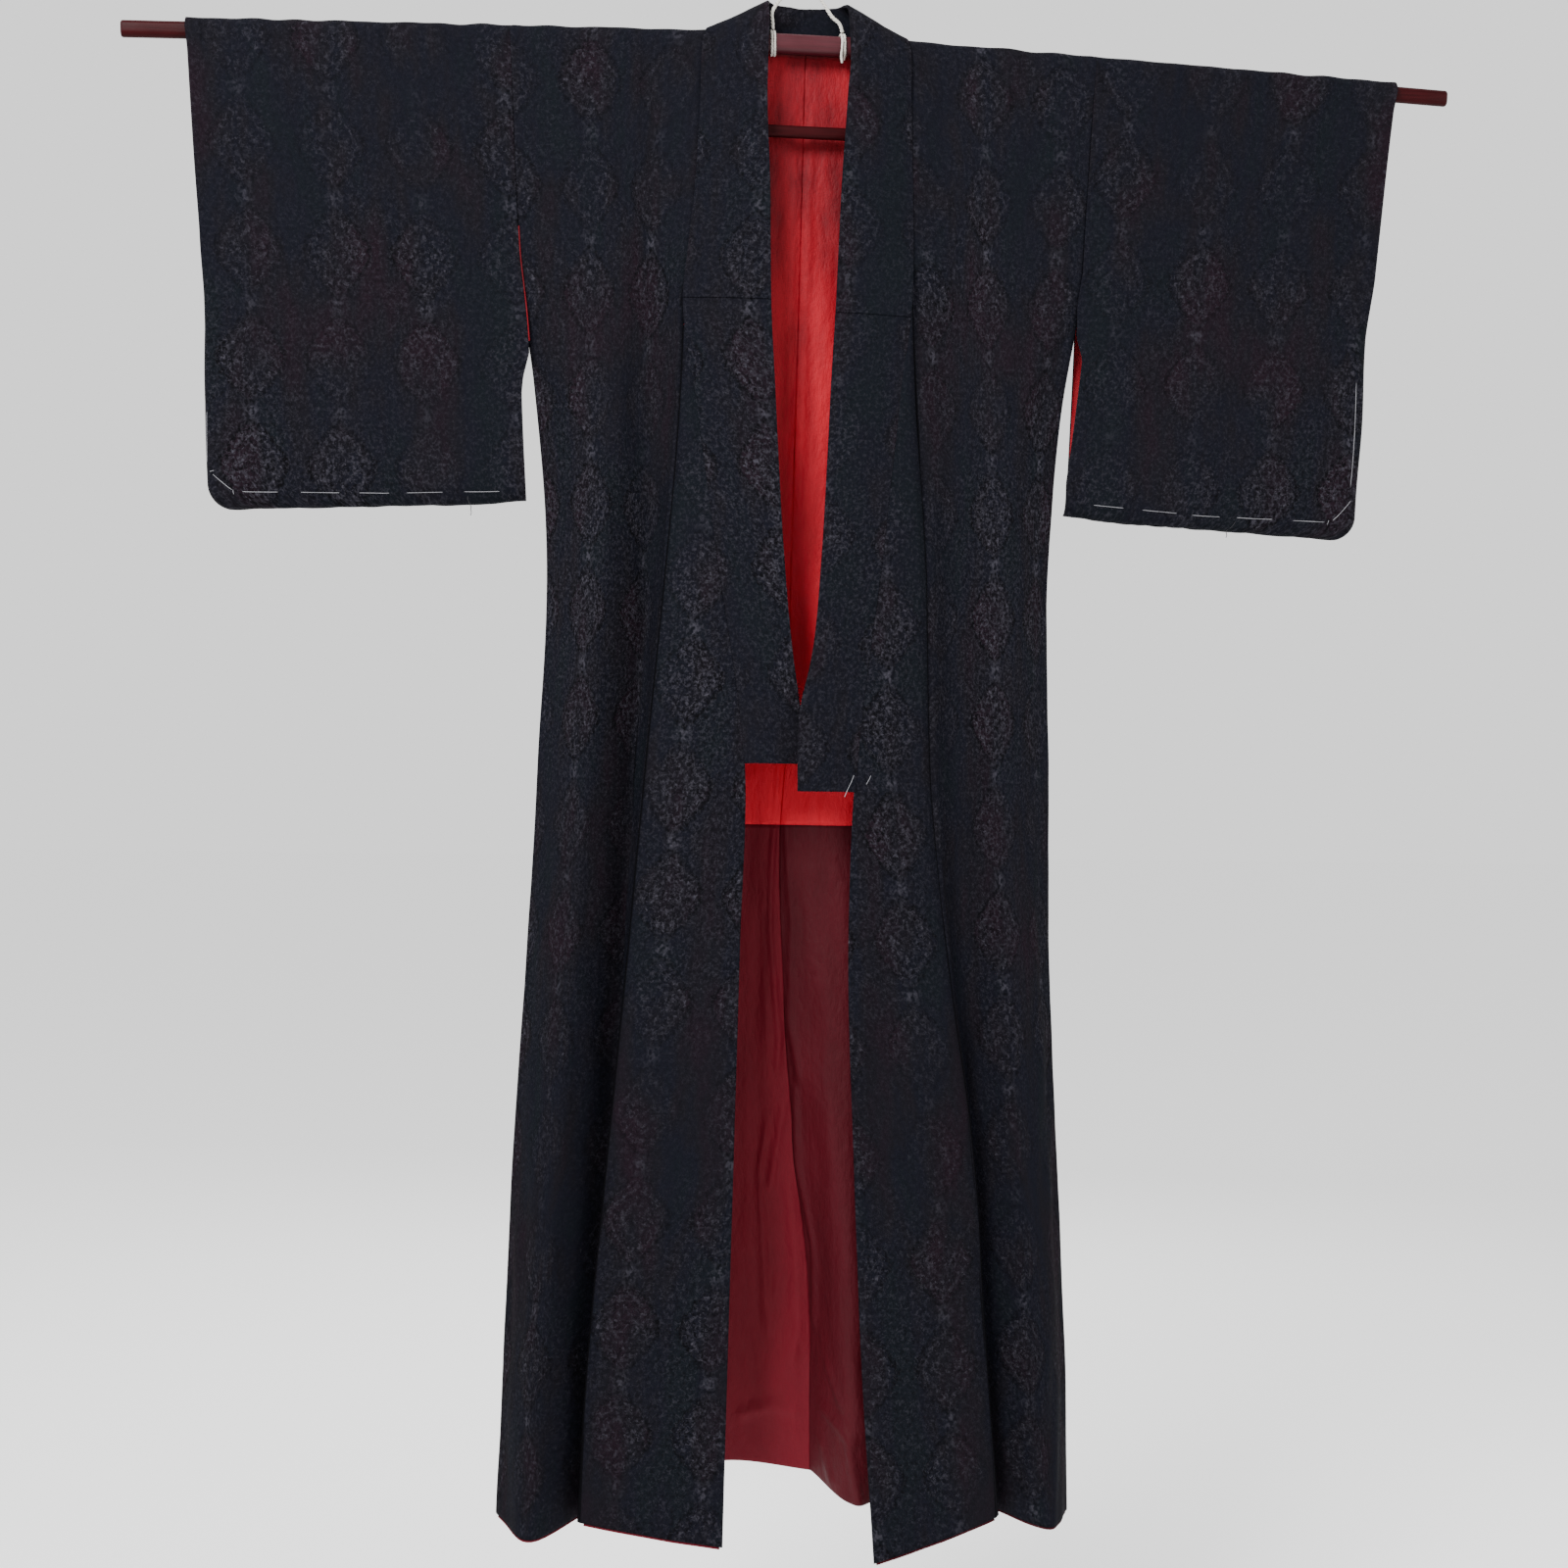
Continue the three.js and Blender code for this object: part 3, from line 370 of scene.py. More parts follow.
def body_cloth(side, across, size):
    """One length from the front hem over the shoulder to the back hem."""
    cloth = Cloth()
    inner = np.maximum(across, OKUMI_SEAM)
    part = (inner - OKUMI_SEAM) / (BODY_WIDTH - OKUMI_SEAM)
    neck_side = across < OKUMI_SEAM
    on_shoulder = mix(NECK_POINT, BODY_WIDTH, part)
    top = ridge(front_point(side, on_shoulder, 0)[0]) + SHOULDER_RADIUS

    def front(drop, down=None):
        at = mix(front_start(drop), BODY_WIDTH, part)
        x, y = front_point(side, at, drop)
        down = drop if down is None else down
        cloth.row(x, y, down, at, down)

    def back(drop, down=None, at=across):
        x, y = back_point(side, at, drop)
        down = drop if down is None else down
        cloth.row(x, y, down, at, 2 * top - OVER_THE_ARM - down, "back")

    for t in steps(0, 1, size / HEM_REACH)[:-1]:
        front(mix(front_hem(side, inner), LOWEST_DROP, t))
    for low, high in ((LOWEST_DROP, WAIST_DROP), (WAIST_DROP, YOKE_DROP)):
        for drop in steps(low, high, size)[:-1]:
            front(np.full(len(across), drop))
    for t in steps(0, 1, size / YOKE_DROP)[:-1]:
        front(np.full(len(across), mix(YOKE_DROP, 0.0, t)), mix(YOKE_DROP, top, t))
    before, after = front_point(side, on_shoulder, 0), back_point(side, on_shoulder, 0)
    for turned in SHOULDER_STEPS[:-1]:
        x, y, drop = over_shoulder(before, after, turned)
        cloth.row(x, y, drop, on_shoulder, top - OVER_THE_ARM * turned, "shoulder")
    start = np.where(neck_side, NECKLINE_DROP, top)
    for t in steps(0, 1, size / YOKE_DROP):
        at = np.where(neck_side, across, mix(on_shoulder, across, t))
        back(mix(0, YOKE_DROP, t), mix(start, YOKE_DROP, t), at)
    for low, high in ((YOKE_DROP, WAIST_DROP), (WAIST_DROP, LOWEST_DROP)):
        for drop in steps(low, high, size)[1:]:
            back(np.full(len(across), drop))
    for t in steps(0, 1, size / HEM_REACH)[1:]:
        back(mix(LOWEST_DROP, back_hem(side, across), t))
    return cloth.done()


def okumi_cloth(side, parts, size, tip=2):
    """The front overlap, from the hem up to tip below the point where it meets the collar."""
    cloth = Cloth()
    hem = HEM[side]

    def row(drop):
        edge_x, edge_y = front_edge(side, drop)
        seam_x, seam_y = front_point(side, np.full(len(parts), OKUMI_SEAM), drop)
        belly = 4 * np.sin(math.pi * parts) * np.minimum(1, drop / WAIST_DROP)
        width = np.hypot(seam_x - edge_x, seam_y - edge_y)
        x, y = mix(edge_x, seam_x, parts), mix(edge_y, seam_y, parts) - belly
        cloth.row(x, y, drop, OKUMI_SEAM - width * (1 - parts), drop)

    for t in steps(0, 1, size / HEM_REACH)[:-1]:
        row(mix(mix(hem["edge"], hem["seam"], parts), LOWEST_DROP, t))
    for drop in (*steps(LOWEST_DROP, WAIST_DROP, size)[:-1], *steps(WAIST_DROP, KENSAKI_DROP + tip, size)):
        row(np.full(len(parts), drop))
    return cloth.done()


def rounded(t):
    return np.sqrt(1 - (1 - np.clip(t, 0, 1)) ** 2)


def sleeve_point(side, across, part, face):
    """A point of the flattened tube, on its front or back face."""
    bottom = column(SLEEVE_BOTTOM, "drop", across, "across")
    drop = bottom * part
    body_side = column(FRONT_OUT[side], "side", np.minimum(drop, ARMHOLE_DROP))
    free = np.clip((drop - ARMHOLE_DROP) / 60, 0, 1)
    inner = body_side + (column(SLEEVE_EDGES[side], "inner", drop) - body_side) * free
    below = np.maximum(0, drop - (bottom - SLEEVE_CORNER))
    corner = SLEEVE_CORNER - np.sqrt(np.maximum(0, SLEEVE_CORNER**2 - below**2))
    outer = column(SLEEVE_EDGES[side], "outer", drop) - corner
    full = mix(SLEEVE_DEPTH["top"], SLEEVE_DEPTH["bottom"], part)
    closed_below = rounded((bottom - drop) / SLEEVE_DEPTH["closing"])
    closed_outside = mix(1, rounded((SLEEVE_WIDTH - across) / SLEEVE_DEPTH["closing"]), free)
    thin = FACE_WALL / 2 + 0.15
    depth = thin + (full - thin) * np.minimum(closed_below, closed_outside)
    return SIDES[side] * mix(inner, outer, across / SLEEVE_WIDTH), face * depth, drop


def sleeve_cloth(side, across, size):
    """One length folded over the arm, its two faces closed together below and under the cuff."""
    cloth = Cloth()
    # the rows crowd together at the bottom, where the two faces close
    parts = 1 - np.array([0, 0.0012, 0.003, 0.006, 0.01, 0.015, 0.021, 0.028, 0.036, 0.045, 0.056])
    parts = np.concatenate([parts, steps(0.93, 0, size / 500)[:-1]])
    front, back = sleeve_point(side, across, 0.0, -1), sleeve_point(side, across, 0.0, 1)
    top = ridge(front[0]) + SHOULDER_RADIUS

    def placed(part, face):
        x, y, drop = sleeve_point(side, across, part, face)
        drawn = np.interp(drop, DRAWN[side]["drop"], DRAWN[side]["far"]) * (face < 0)
        x = x + SIDES[side] * drawn * np.exp(-across.clip(0) / DRAWN_REACH)
        return x, y, drop + np.maximum(0, top * (1 - part / 0.08))

    for part in parts:
        x, y, drop = placed(part, -1)
        cloth.row(x, y, drop, across, drop)
    for turned in SHOULDER_STEPS:
        x, y, drop = over_shoulder(front, back, turned)
        cloth.row(x, y, drop, across, top - OVER_THE_ARM * turned, "shoulder")
    for part in parts[::-1]:
        x, y, drop = placed(part, 1)
        cloth.row(x, y, drop, across, 2 * top - OVER_THE_ARM - drop, "back")
    return cloth.done()


def collar_cloth(parts, size):
    """The folded band from one front round the back of the neck to the other."""
    seams, frees = [], []

    def half(side):
        sign, rows = SIDES[side], []
        for drop in (COLLAR_END_DROP[side], *COLLAR_DROPS):
            x, y = front_edge(side, np.array(float(drop)))
            opening = COLLAR_OPENING[side]
            free = (sign * column(opening, "out", drop), column(opening, "depth", drop), drop)
            rows.append(((x, y, drop), free))
        front, back = (point(side, NECK_POINT, 0.0) for point in (front_point, back_point))
        for turned, out, depth, drop in zip(*COLLAR_TURN.values()):
            rows.append((over_shoulder(front, back, turned), (sign * out, depth, drop)))
        for across, out, depth, drop in zip(*COLLAR_NAPE.values()):
            x, y = back_point(side, across, NECKLINE_DROP)
            rows.append(((x, y, NECKLINE_DROP), (sign * out, depth, drop)))
        return rows

    for seam, free in [*half("left"), *half("right")[:-1][::-1]]:
        seams.append([float(v) for v in seam])
        frees.append([float(v) for v in free])
    seams, frees = np.array(seams), np.array(frees)
    middles = (seams + frees) / 2
    run = run_along(middles)
    at = steps(0, run[-1], size)
    seam, free = curve_through(seams, run, at), curve_through(frees, run, at)
    cloth = Cloth()
    for a, b, place in zip(seam, free, at):
        point = mix(a, b, parts[:, None])
        width = np.linalg.norm(b - a)
        cloth.row(point[:, 0], point[:, 1], point[:, 2], parts * width, place - run[-1] / 2)
    return cloth.done()


# ---- Folds pressed and hung into the cloth -----------------------------------------------------------


def creases(cloth, rows):
    """How far soft troughs (below zero) and ridges push the cloth out. A row is a path on the flat
    cloth, a width, a height and the length over which the crease fades out at each end."""
    push = np.zeros(cloth.across.shape)
    for path, width, height, fading in rows:
        path = np.array(path, float)
        lengths = np.linalg.norm(np.diff(path, axis=0), axis=1)
        before = np.concatenate([[0], np.cumsum(lengths)])
        nearest, run = np.full(push.shape, np.inf), np.zeros(push.shape)
        for (u, v), (du, dv), length, start in zip(path, np.diff(path, axis=0), lengths, before):
            t = np.clip(((cloth.across - u) * du + (cloth.along - v) * dv) / length**2, 0, 1)
            away = np.hypot(cloth.across - u - t * du, cloth.along - v - t * dv)
            run = np.where(away < nearest, start + t * length, run)
            nearest = np.minimum(away, nearest)
        fade = np.clip(np.minimum(run, before[-1] - run) / fading, 0, 1)
        push += height * fade * fade * (3 - 2 * fade) * np.exp(-((nearest / width) ** 2))
    return push


def ripples(cloth, seed, height, wide=60, tall=220):
    """The slow unevenness of hanging cloth, from a few waves with set phases."""
    draw = np.random.default_rng(seed)
    push = np.zeros(cloth.across.shape)
    for _ in range(7):
        a, b = draw.uniform(0.6, 1.6, 2)
        lean, phase = draw.uniform(-0.35, 0.35), draw.uniform(0, 2 * math.pi)
        push += np.sin(2 * math.pi * (a * cloth.across / wide + (b + lean) * cloth.along / tall) + phase)
    return height * push / 7**0.5


def outward(cloth, facing):
    """The direction out of the cloth's right side at each point."""
    along, across = np.gradient(cloth.points, axis=0), np.gradient(cloth.points, axis=1)
    normal = np.cross(along, across) * facing
    return normal / np.maximum(np.linalg.norm(normal, axis=2, keepdims=True), 1e-9)


def lay(cloth, name, material, facing, wall, push=0.0, shown=None, edge=None):
    """A sheet on a grid of points: create_grid gives the faces, and each vertex is moved to its place."""
    points = cloth.points + outward(cloth, facing) * np.asarray(push, float)[..., None]
    rows, columns = cloth.across.shape
    mesh = bmesh.new()
    bmesh.ops.create_grid(mesh, x_segments=columns - 1, y_segments=rows - 1, size=1)
    mesh.verts.ensure_lookup_table()
    uv = mesh.loops.layers.uv.new("cloth")
    place = {}
    for vertex in mesh.verts:
        c = round((vertex.co.x + 1) / 2 * (columns - 1))
        r = round((vertex.co.y + 1) / 2 * (rows - 1))
        place[vertex.index] = (r, c)
    for face in mesh.faces:
        for loop in face.loops:
            r, c = place[loop.vert.index]
            loop[uv].uv = (cloth.across[r, c] * MM, cloth.along[r, c] * MM)
        face.smooth = True
    for vertex in mesh.verts:
        vertex.co = points[place[vertex.index]] * MM
    if shown is not None:
        gone = [vertex for vertex in mesh.verts if not shown[place[vertex.index]]]
        bmesh.ops.delete(mesh, geom=gone, context="VERTS")
        loose = [vertex for vertex in mesh.verts if not vertex.link_faces]
        bmesh.ops.delete(mesh, geom=loose, context="VERTS")
    # create_grid's faces look along rows cross columns, which is out of the cloth only on one side
    if facing > 0:
        bmesh.ops.reverse_faces(mesh, faces=mesh.faces)
    return finished(mesh, name, material, wall, edge)


def finished(mesh, name, material, wall=None, edge=None):
    data = bpy.data.meshes.new(name)
    mesh.to_mesh(data)
    mesh.free()
    piece = bpy.data.objects.new(name, data)
    bpy.context.scene.collection.objects.link(piece)
    data.materials.append(material)
    if wall:
        shell = piece.modifiers.new("wall", "SOLIDIFY")
        shell.thickness = wall * MM
        shell.offset = 0
    if edge:
        soften = piece.modifiers.new("edge", "BEVEL")
        soften.width = edge * MM
        soften.segments = 3
        soften.limit_method = "ANGLE"
        soften.angle_limit = math.radians(50)
        soften.harden_normals = False
    return piece


def tube(mesh, path, radius, sides, uv):
    """A round strand along a path, closed at both ends, made from a grid rolled up round it."""
    path = np.asarray(path, float)
    side_of, up_of = square_to(path, (0.13, 0.31, 0.94))
    made = bmesh.ops.create_grid(mesh, x_segments=sides, y_segments=len(path) - 1, size=1)["verts"]
    run = run_along(path)
    for vertex in made:
        angle = math.pi * (vertex.co.x + 1)
        r = round((vertex.co.y + 1) / 2 * (len(path) - 1))
        for loop in vertex.link_loops:
            loop[uv].uv = (angle * radius * MM, run[r] * MM)
        out = math.cos(angle) * side_of[r] + math.sin(angle) * up_of[r]
        vertex.co = (path[r] + radius * out) * MM
    for face in {face for vertex in made for face in vertex.link_faces}:
        face.smooth = True
    bmesh.ops.remove_doubles(mesh, verts=made, dist=1e-7)
    rims = [edge for vertex in made if vertex.is_valid for edge in vertex.link_edges if edge.is_boundary]
    bmesh.ops.holes_fill(mesh, edges=list(set(rims)), sides=0)


def strands(name, material, paths, radius, sides=8):
    """One piece of several round strands."""
    mesh = bmesh.new()
    uv = mesh.loops.layers.uv.new("cloth")
    for path in paths:
        tube(mesh, path, radius, sides, uv)
    bmesh.ops.recalc_face_normals(mesh, faces=mesh.faces)
    return finished(mesh, name, material)


# ---- Finishes --------------------------------------------------------------------------------------


class Value:
    """One number of a material, so that its maths reads as expressions."""

    def __init__(self, finish, socket):
        self.finish, self.socket = finish, socket

    def __add__(self, other):
        return self.finish.math("ADD", self, other)

    def __sub__(self, other):
        return self.finish.math("SUBTRACT", self, other)

    def __rsub__(self, other):
        return self.finish.math("SUBTRACT", other, self)

    def __mul__(self, other):
        return self.finish.math("MULTIPLY", self, other)

    def __truediv__(self, other):
        return self.finish.math("DIVIDE", self, other)

    def __abs__(self):
        return self.finish.math("ABSOLUTE", self)

    def within(self, edge, soft):
        """1 where this is below edge, fading to 0 over soft."""
        return self.finish.math("MULTIPLY", edge + soft - self, 1 / soft, clamp=True)

    def above(self, edge, soft):
        """0 where this is below edge, rising to 1 over soft."""
        return self.finish.math("MULTIPLY", self - edge, 1 / soft, clamp=True)

    __radd__ = __add__
    __rmul__ = __mul__


class Finish:
    """A material under way, with its Principled shader."""

    def __init__(self, name, **settings):
        self.material = bpy.data.materials.new(name)
        self.material.use_nodes = True
        self.tree = self.material.node_tree
        self.shader = self.tree.nodes["Principled BSDF"]
        for socket, value in settings.items():
            self.shader.inputs[socket.replace("_", " ")].default_value = value

    def node(self, kind, settings, values, output=0):
        made = self.tree.nodes.new(kind)
        for key, value in settings.items():
            if key == "stops":
                while len(made.color_ramp.elements) < len(value):
                    made.color_ramp.elements.new(0.5)
                for element, (place, colour) in zip(made.color_ramp.elements, value):
                    element.position, element.color = place, (*colour, 1)
            else:
                setattr(made, key, value)
        for key, value in values.items():
            if isinstance(value, Value):
                self.tree.links.new(value.socket, made.inputs[key])
            else:
                made.inputs[key].default_value = value
        return Value(self, made.outputs[output])

    def math(self, operation, *values, clamp=False):
        settings = {"operation": operation, "use_clamp": clamp}
        return self.node("ShaderNodeMath", settings, dict(enumerate(values)))

    def vector(self, operation, *values, output=0):
        return self.node("ShaderNodeVectorMath", {"operation": operation}, dict(enumerate(values)), output)

    def blend(self, factor, a, b):
        colours = [c if isinstance(c, Value) else (*c, 1) for c in (a, b)]
        values = {0: factor, 6: colours[0], 7: colours[1]}
        return self.node("ShaderNodeMix", {"data_type": "RGBA"}, values, output=2)

    def noise(self, where, scale, detail=2.0, rough=0.5, shape="2D", output=0):
        settings = {"noise_dimensions": shape}
        values = {"Vector": where, "Scale": scale, "Detail": detail, "Roughness": rough}
        return self.node("ShaderNodeTexNoise", settings, values, output)

    def stretched(self, where, x, y, z=1.0):
        return self.vector("MULTIPLY", where, (x, y, z))

    def set(self, socket, value):
        self.tree.links.new(value.socket, self.shader.inputs[socket])

    def bump(self, height, distance, strength=1.0):
        values = {"Height": height, "Distance": distance, "Strength": strength}
        self.set("Normal", self.node("ShaderNodeBump", {}, values))

    def cloth(self):
        return self.node("ShaderNodeUVMap", {"uv_map": "cloth"}, {})

    def split(self, where):
        made = self.tree.nodes.new("ShaderNodeSeparateXYZ")
        self.tree.links.new(where.socket, made.inputs[0])
        return [Value(self, output) for output in made.outputs]


MEDALLION = (91, 109.5)  # the pattern's repeat across and along, in millimetres
NAVY, TEAL = (0.0035, 0.0037, 0.0068), (0.0031, 0.0043, 0.0063)
SMOKE, PLUM = (0.0043, 0.0039, 0.0059), (0.0068, 0.0034, 0.0060)
BRIGHT_THREAD, DARK_THREAD = (0.033, 0.031, 0.040), (0.0008, 0.0007, 0.0013)
LOZENGE = (36, 46)  # how far a medallion reaches from its middle, in millimetres
WANDER = 0.010  # metres by which the figure's outlines wander
# metres from the shoulder to where the figure shows most, how far that reaches, and the top of the painted
# seam shadow
CLEAREST, CLEAR_REACH, SEAM_SHADOW_FROM = 0.62, 0.46, 0.228


def figured_silk(name, across, along, strength=1.0, painted_seam_shadow=False):
    """Dark silk with a woven figure: pointed medallions full of small curls, on a finer scatter.
    across and along say where a medallion's middle lies on the flat cloth, and the flag after strength
    paints a sharp dark line along the okumi seam on the front: a painted shadow of the seam's fold."""
    silk = Finish(name, **{"Specular IOR Level": 0.05})
    flat = silk.cloth()
    # the figure's outlines step from thread to thread
    jitter = silk.vector("SUBTRACT", silk.noise(flat, 210, 2.0, 0.5, output=1), (0.5, 0.5, 0.5))
    moved = silk.vector("ADD", flat, silk.vector("MULTIPLY", jitter, (WANDER, WANDER, 0)))
    u, v, _ = silk.split(moved)
    u, v = u * 1000 - across, v * 1000 - along
    half_across, half_along = MEDALLION[0] / 2, MEDALLION[1] / 2
    # both halves of the repeat mirror each other
    a = abs(silk.math("WRAP", u, -half_across, half_across))
    b = abs(silk.math("WRAP", v, -half_along, half_along))
    place = silk.node("ShaderNodeCombineXYZ", {}, {0: a, 1: b})

    def largest(*values):
        result = values[0]
        for value in values[1:]:
            result = silk.math("MAXIMUM", result, value)
        return result

    # 1 on a medallion's outline, 0 in its middle
    lozenge = silk.math("POWER", a / LOZENGE[0], 1.25) + silk.math("POWER", b / LOZENGE[1], 1.25)
    medal = lozenge.within(0.86, 0.16)
    outline = abs(lozenge - 1.0).within(0.03, 0.07)
    ring = largest(abs(lozenge - 0.72).within(0.02, 0.06), abs(lozenge - 0.3).within(0.02, 0.06))
    knot = silk.vector("DISTANCE", place, (0, half_along, 0), output=1).within(4.5, 2)
    trail = a.within(5, 4) * (1 - medal)
    # curls are where a slow scatter crosses its middle, with a dark one beside each light one
    scatter = silk.noise(place, 0.14, 1.0, 0.6)
    light_curl = abs(scatter - 0.53).within(0.022, 0.03)
    dark_curl = abs(scatter - 0.43).within(0.022, 0.03)
    dabs = silk.noise(silk.stretched(flat, 205, 180), 1.0, 1.0, 0.6)
    specks = silk.noise(silk.stretched(flat, 300, 265), 1.0, 1.0, 0.6)
    broken = dabs.above(0.40, 0.2)
    # every other column is woven stronger, and the figure comes and goes in tall patches
    column_wave = silk.math("COSINE", u * (math.pi / MEDALLION[0])) * 0.5 + 0.5
    patches = silk.noise(silk.stretched(flat, 7.5, 3.2), 1.0, 2.0)
    from_left, down_front, _ = silk.split(flat)
    down = abs(down_front)
    zone = silk.math("SUBTRACT", 1, abs(down - CLEAREST) / CLEAR_REACH, clamp=True)
    showing = (patches - 0.5) * 2.6 + 0.4 + column_wave * 0.2 + zone * 0.45
    clear = silk.math("MULTIPLY", showing, strength, clamp=True)
    grain = silk.noise(silk.stretched(flat, 1500, 330), 1.0, 1.0)
    tint = silk.noise(silk.stretched(flat, 16, 5), 1.0, 3.0, 0.6) + (medal * 0.17 - 0.04) * clear
    ground = silk.node(
        "ShaderNodeValToRGB", {"stops": ((0.30, TEAL), (0.45, NAVY), (0.56, SMOKE), (0.76, PLUM))}, {0: tint}
    )
    figure = light_curl * (0.42 + medal * 0.5) + ring * 0.5 + knot * 0.6 + trail * 0.35
    light = figure * broken * (clear * 0.85 + 0.1)
    light = light + specks.above(0.52, 0.2) * (zone * 0.34 + clear * 0.16 + 0.05) * (medal * 0.45 + 0.65)
    dark = (dark_curl * (0.4 + medal * 0.6) + outline * 0.85) * (clear * 0.75 + 0.12)
    dark = dark + (1 - dabs).above(0.52, 0.2) * (clear * 0.35 + 0.15)
    colour = silk.blend(silk.math("MULTIPLY", dark, 0.9, clamp=True), ground, DARK_THREAD)
    colour = silk.blend(silk.math("MULTIPLY", light, 0.7, clamp=True), colour, BRIGHT_THREAD)
    colour = silk.blend(silk.math("MULTIPLY", 0.60 - grain, 0.9, clamp=True), colour, DARK_THREAD)
    if painted_seam_shadow:
        # painted shadow: a thin dark line in the colour along the okumi seam, standing for the shade the
        # seam's fold casts
        line = abs(from_left * 1000 - OKUMI_SEAM).within(1.5, 1.2) * down_front.above(SEAM_SHADOW_FROM, 0.02)
        colour = silk.blend(line * 0.96, colour, DARK_THREAD)
    silk.set("Base Color", colour)
    silk.set("Roughness", 0.86 - light * 0.12)
    silk.bump(specks * 0.5 + grain * 0.3 + light * 0.5 - dark * 0.3, 0.0004)
    return silk.material


def plain_silk(name, low, high, roughness, slubs, painted_light_downward=0.0):
    """Thin plain-woven lining silk, uneven in colour, with painted shade: the last argument paints the back
    lighter downward, leaving its top darker.
    """
    silk = Finish(name, **{"Specular IOR Level": 0.12})
    flat = silk.cloth()
    weft = silk.noise(silk.stretched(flat, 190, 2300), 1.0, 2.0)
    warp = silk.noise(silk.stretched(flat, 2300, 90), 1.0, 2.0)
    soft = silk.noise(silk.stretched(flat, 26, 7), 1.0, 3.0)
    crinkle = silk.noise(silk.stretched(flat, 150, 60), 1.0, 3.0, 0.6)
    tone = (soft - 0.5) * 0.9 + (0.12 if painted_light_downward else 0.4) + (weft + warp - 1.0) * slubs
    # painted shade and light: the back is painted darker at its top, in the shade inside the neck, and lighter
    # lower down
    if painted_light_downward:
        down = silk.split(flat)[1] * -1.6 - 0.25
        tone = tone + silk.math("MULTIPLY", down, 1.0, clamp=True) * painted_light_downward
    silk.set("Base Color", silk.blend(silk.math("ADD", tone, 0.0, clamp=True), low, high))
    silk.set("Roughness", roughness + (crinkle - 0.5) * 0.25 + (weft - 0.5) * 0.1)
    silk.bump(weft * 0.12 + warp * 0.1 + crinkle * 1.1 + soft * 2.0, 0.0012)
    return silk.material


def lacquered(name, low, high, gloss):
    """Lacquer over wood: even colour, faint long grain, small scuffs."""
    wood = Finish(name, **{"Specular IOR Level": gloss, "Coat Roughness": 0.25})
    where = wood.node("ShaderNodeTexCoord", {}, {}, output=3)
    grain = wood.noise(wood.stretched(where, 22, 700, 700), 1.0, 3.0, shape="3D")
    rubbed = wood.noise(where, 34.0, 3.0, shape="3D")
    fine = wood.noise(wood.stretched(where, 260, 2600, 2600), 1.0, 2.0, shape="3D")
    tone = wood.math("ADD", (grain - 0.5) * 1.3 + 0.45, (rubbed - 0.5) * 0.7, clamp=True)
    wood.set("Base Color", wood.blend(tone, low, high))
    wood.set("Roughness", 0.46 + (rubbed - 0.5) * 0.22 + (fine - 0.5) * 0.12)
    wood.set("Coat Weight", wood.math("MULTIPLY", rubbed, gloss * 0.3, clamp=True))
    wood.bump(grain * 0.5 + fine * 0.3, 0.00022)
    return wood.material


def twisted_cotton(name, low, high, fibre=1.0):
    cotton = Finish(name, **{"Specular IOR Level": 0.2, "Sheen Weight": 0.15, "Sheen Roughness": 0.5})
    where = cotton.node("ShaderNodeTexCoord", {}, {}, output=3)
    fibres = cotton.noise(cotton.stretched(where, 2400, 2400, 700), 1.0, 3.0, 0.65, shape="3D")
    soiled = cotton.noise(where, 60.0, 2.0, shape="3D")
    tone = cotton.math("ADD", fibres * 0.9, (soiled - 0.5) * 0.8, clamp=True)
    cotton.set("Base Color", cotton.blend(tone, low, high))
    cotton.set("Roughness", 0.82 + (fibres - 0.5) * 0.2)
    cotton.bump(fibres, 0.0003 * fibre)
    return cotton.material


# where a medallion's middle lies on each panel, how strongly the figure shows, and whether a painted shadow
# line darkens its okumi seam
FIGURES = {
    "body_left": (215, 930, 1.0, True), "body_right": (176, 272, 1.0, True),
    "okumi_left": (24, 454, 1.0, True), "okumi_right": (12, 500, 0.9, True),
    "sleeve_left": (8, 242, 0.8), "sleeve_right": (40, 238, 0.7), "collar": (68, -360, 0.9),
}
SILK = {name: figured_silk(f"{name}_silk", *figure) for name, figure in FIGURES.items()}
# the darker red is mostly the painted shade at the top of the back lining; the rest is its random unevenness
RED_TONES = ((0.085, 0.0012, 0.0042), (0.56, 0.0110, 0.0240))
RED_SILK = plain_silk("red_lining_silk", *RED_TONES, 0.6, 0.25, painted_light_downward=0.85)
# one wine silk in two copies that differ only in painted light and shade: the right side's is painted about
# half as light as the left's
WINE_LIT_AND_SHADED_TONES = {
    "left": ((0.076, 0.0022, 0.0070), (0.128, 0.0046, 0.0120)),
    "right": ((0.032, 0.0009, 0.0032), (0.062, 0.0022, 0.0065)),
}
WINE_SILK = {
    side: plain_silk(f"wine_lining_{side}_silk", *tones, 0.65, 0.45) for side, tones in WINE_LIT_AND_SHADED_TONES.items()
}
# painted light: the centre bar's lacquer is a lighter, glossier copy of the maroon one, standing for the front
# light that falls on it
LIT_MAROON = lacquered("lit_maroon_lacquer", (0.028, 0.0018, 0.0042), (0.054, 0.0050, 0.0100), 0.22)
MAROON = lacquered("maroon_lacquer", (0.0125, 0.0005, 0.0009), (0.030, 0.0021, 0.0032), 0.05)
CORD_COTTON = twisted_cotton("cord_cotton", (0.40, 0.38, 0.33), (0.66, 0.64, 0.60))
BASTING_COTTON = twisted_cotton("basting_cotton", (0.06, 0.06, 0.07), (0.34, 0.34, 0.36), 0.4)
DARK_COTTON = twisted_cotton("dark_thread", (0.006, 0.006, 0.009), (0.018, 0.017, 0.021), 0.4)


# ---- The folds of each panel -------------------------------------------------------------------------

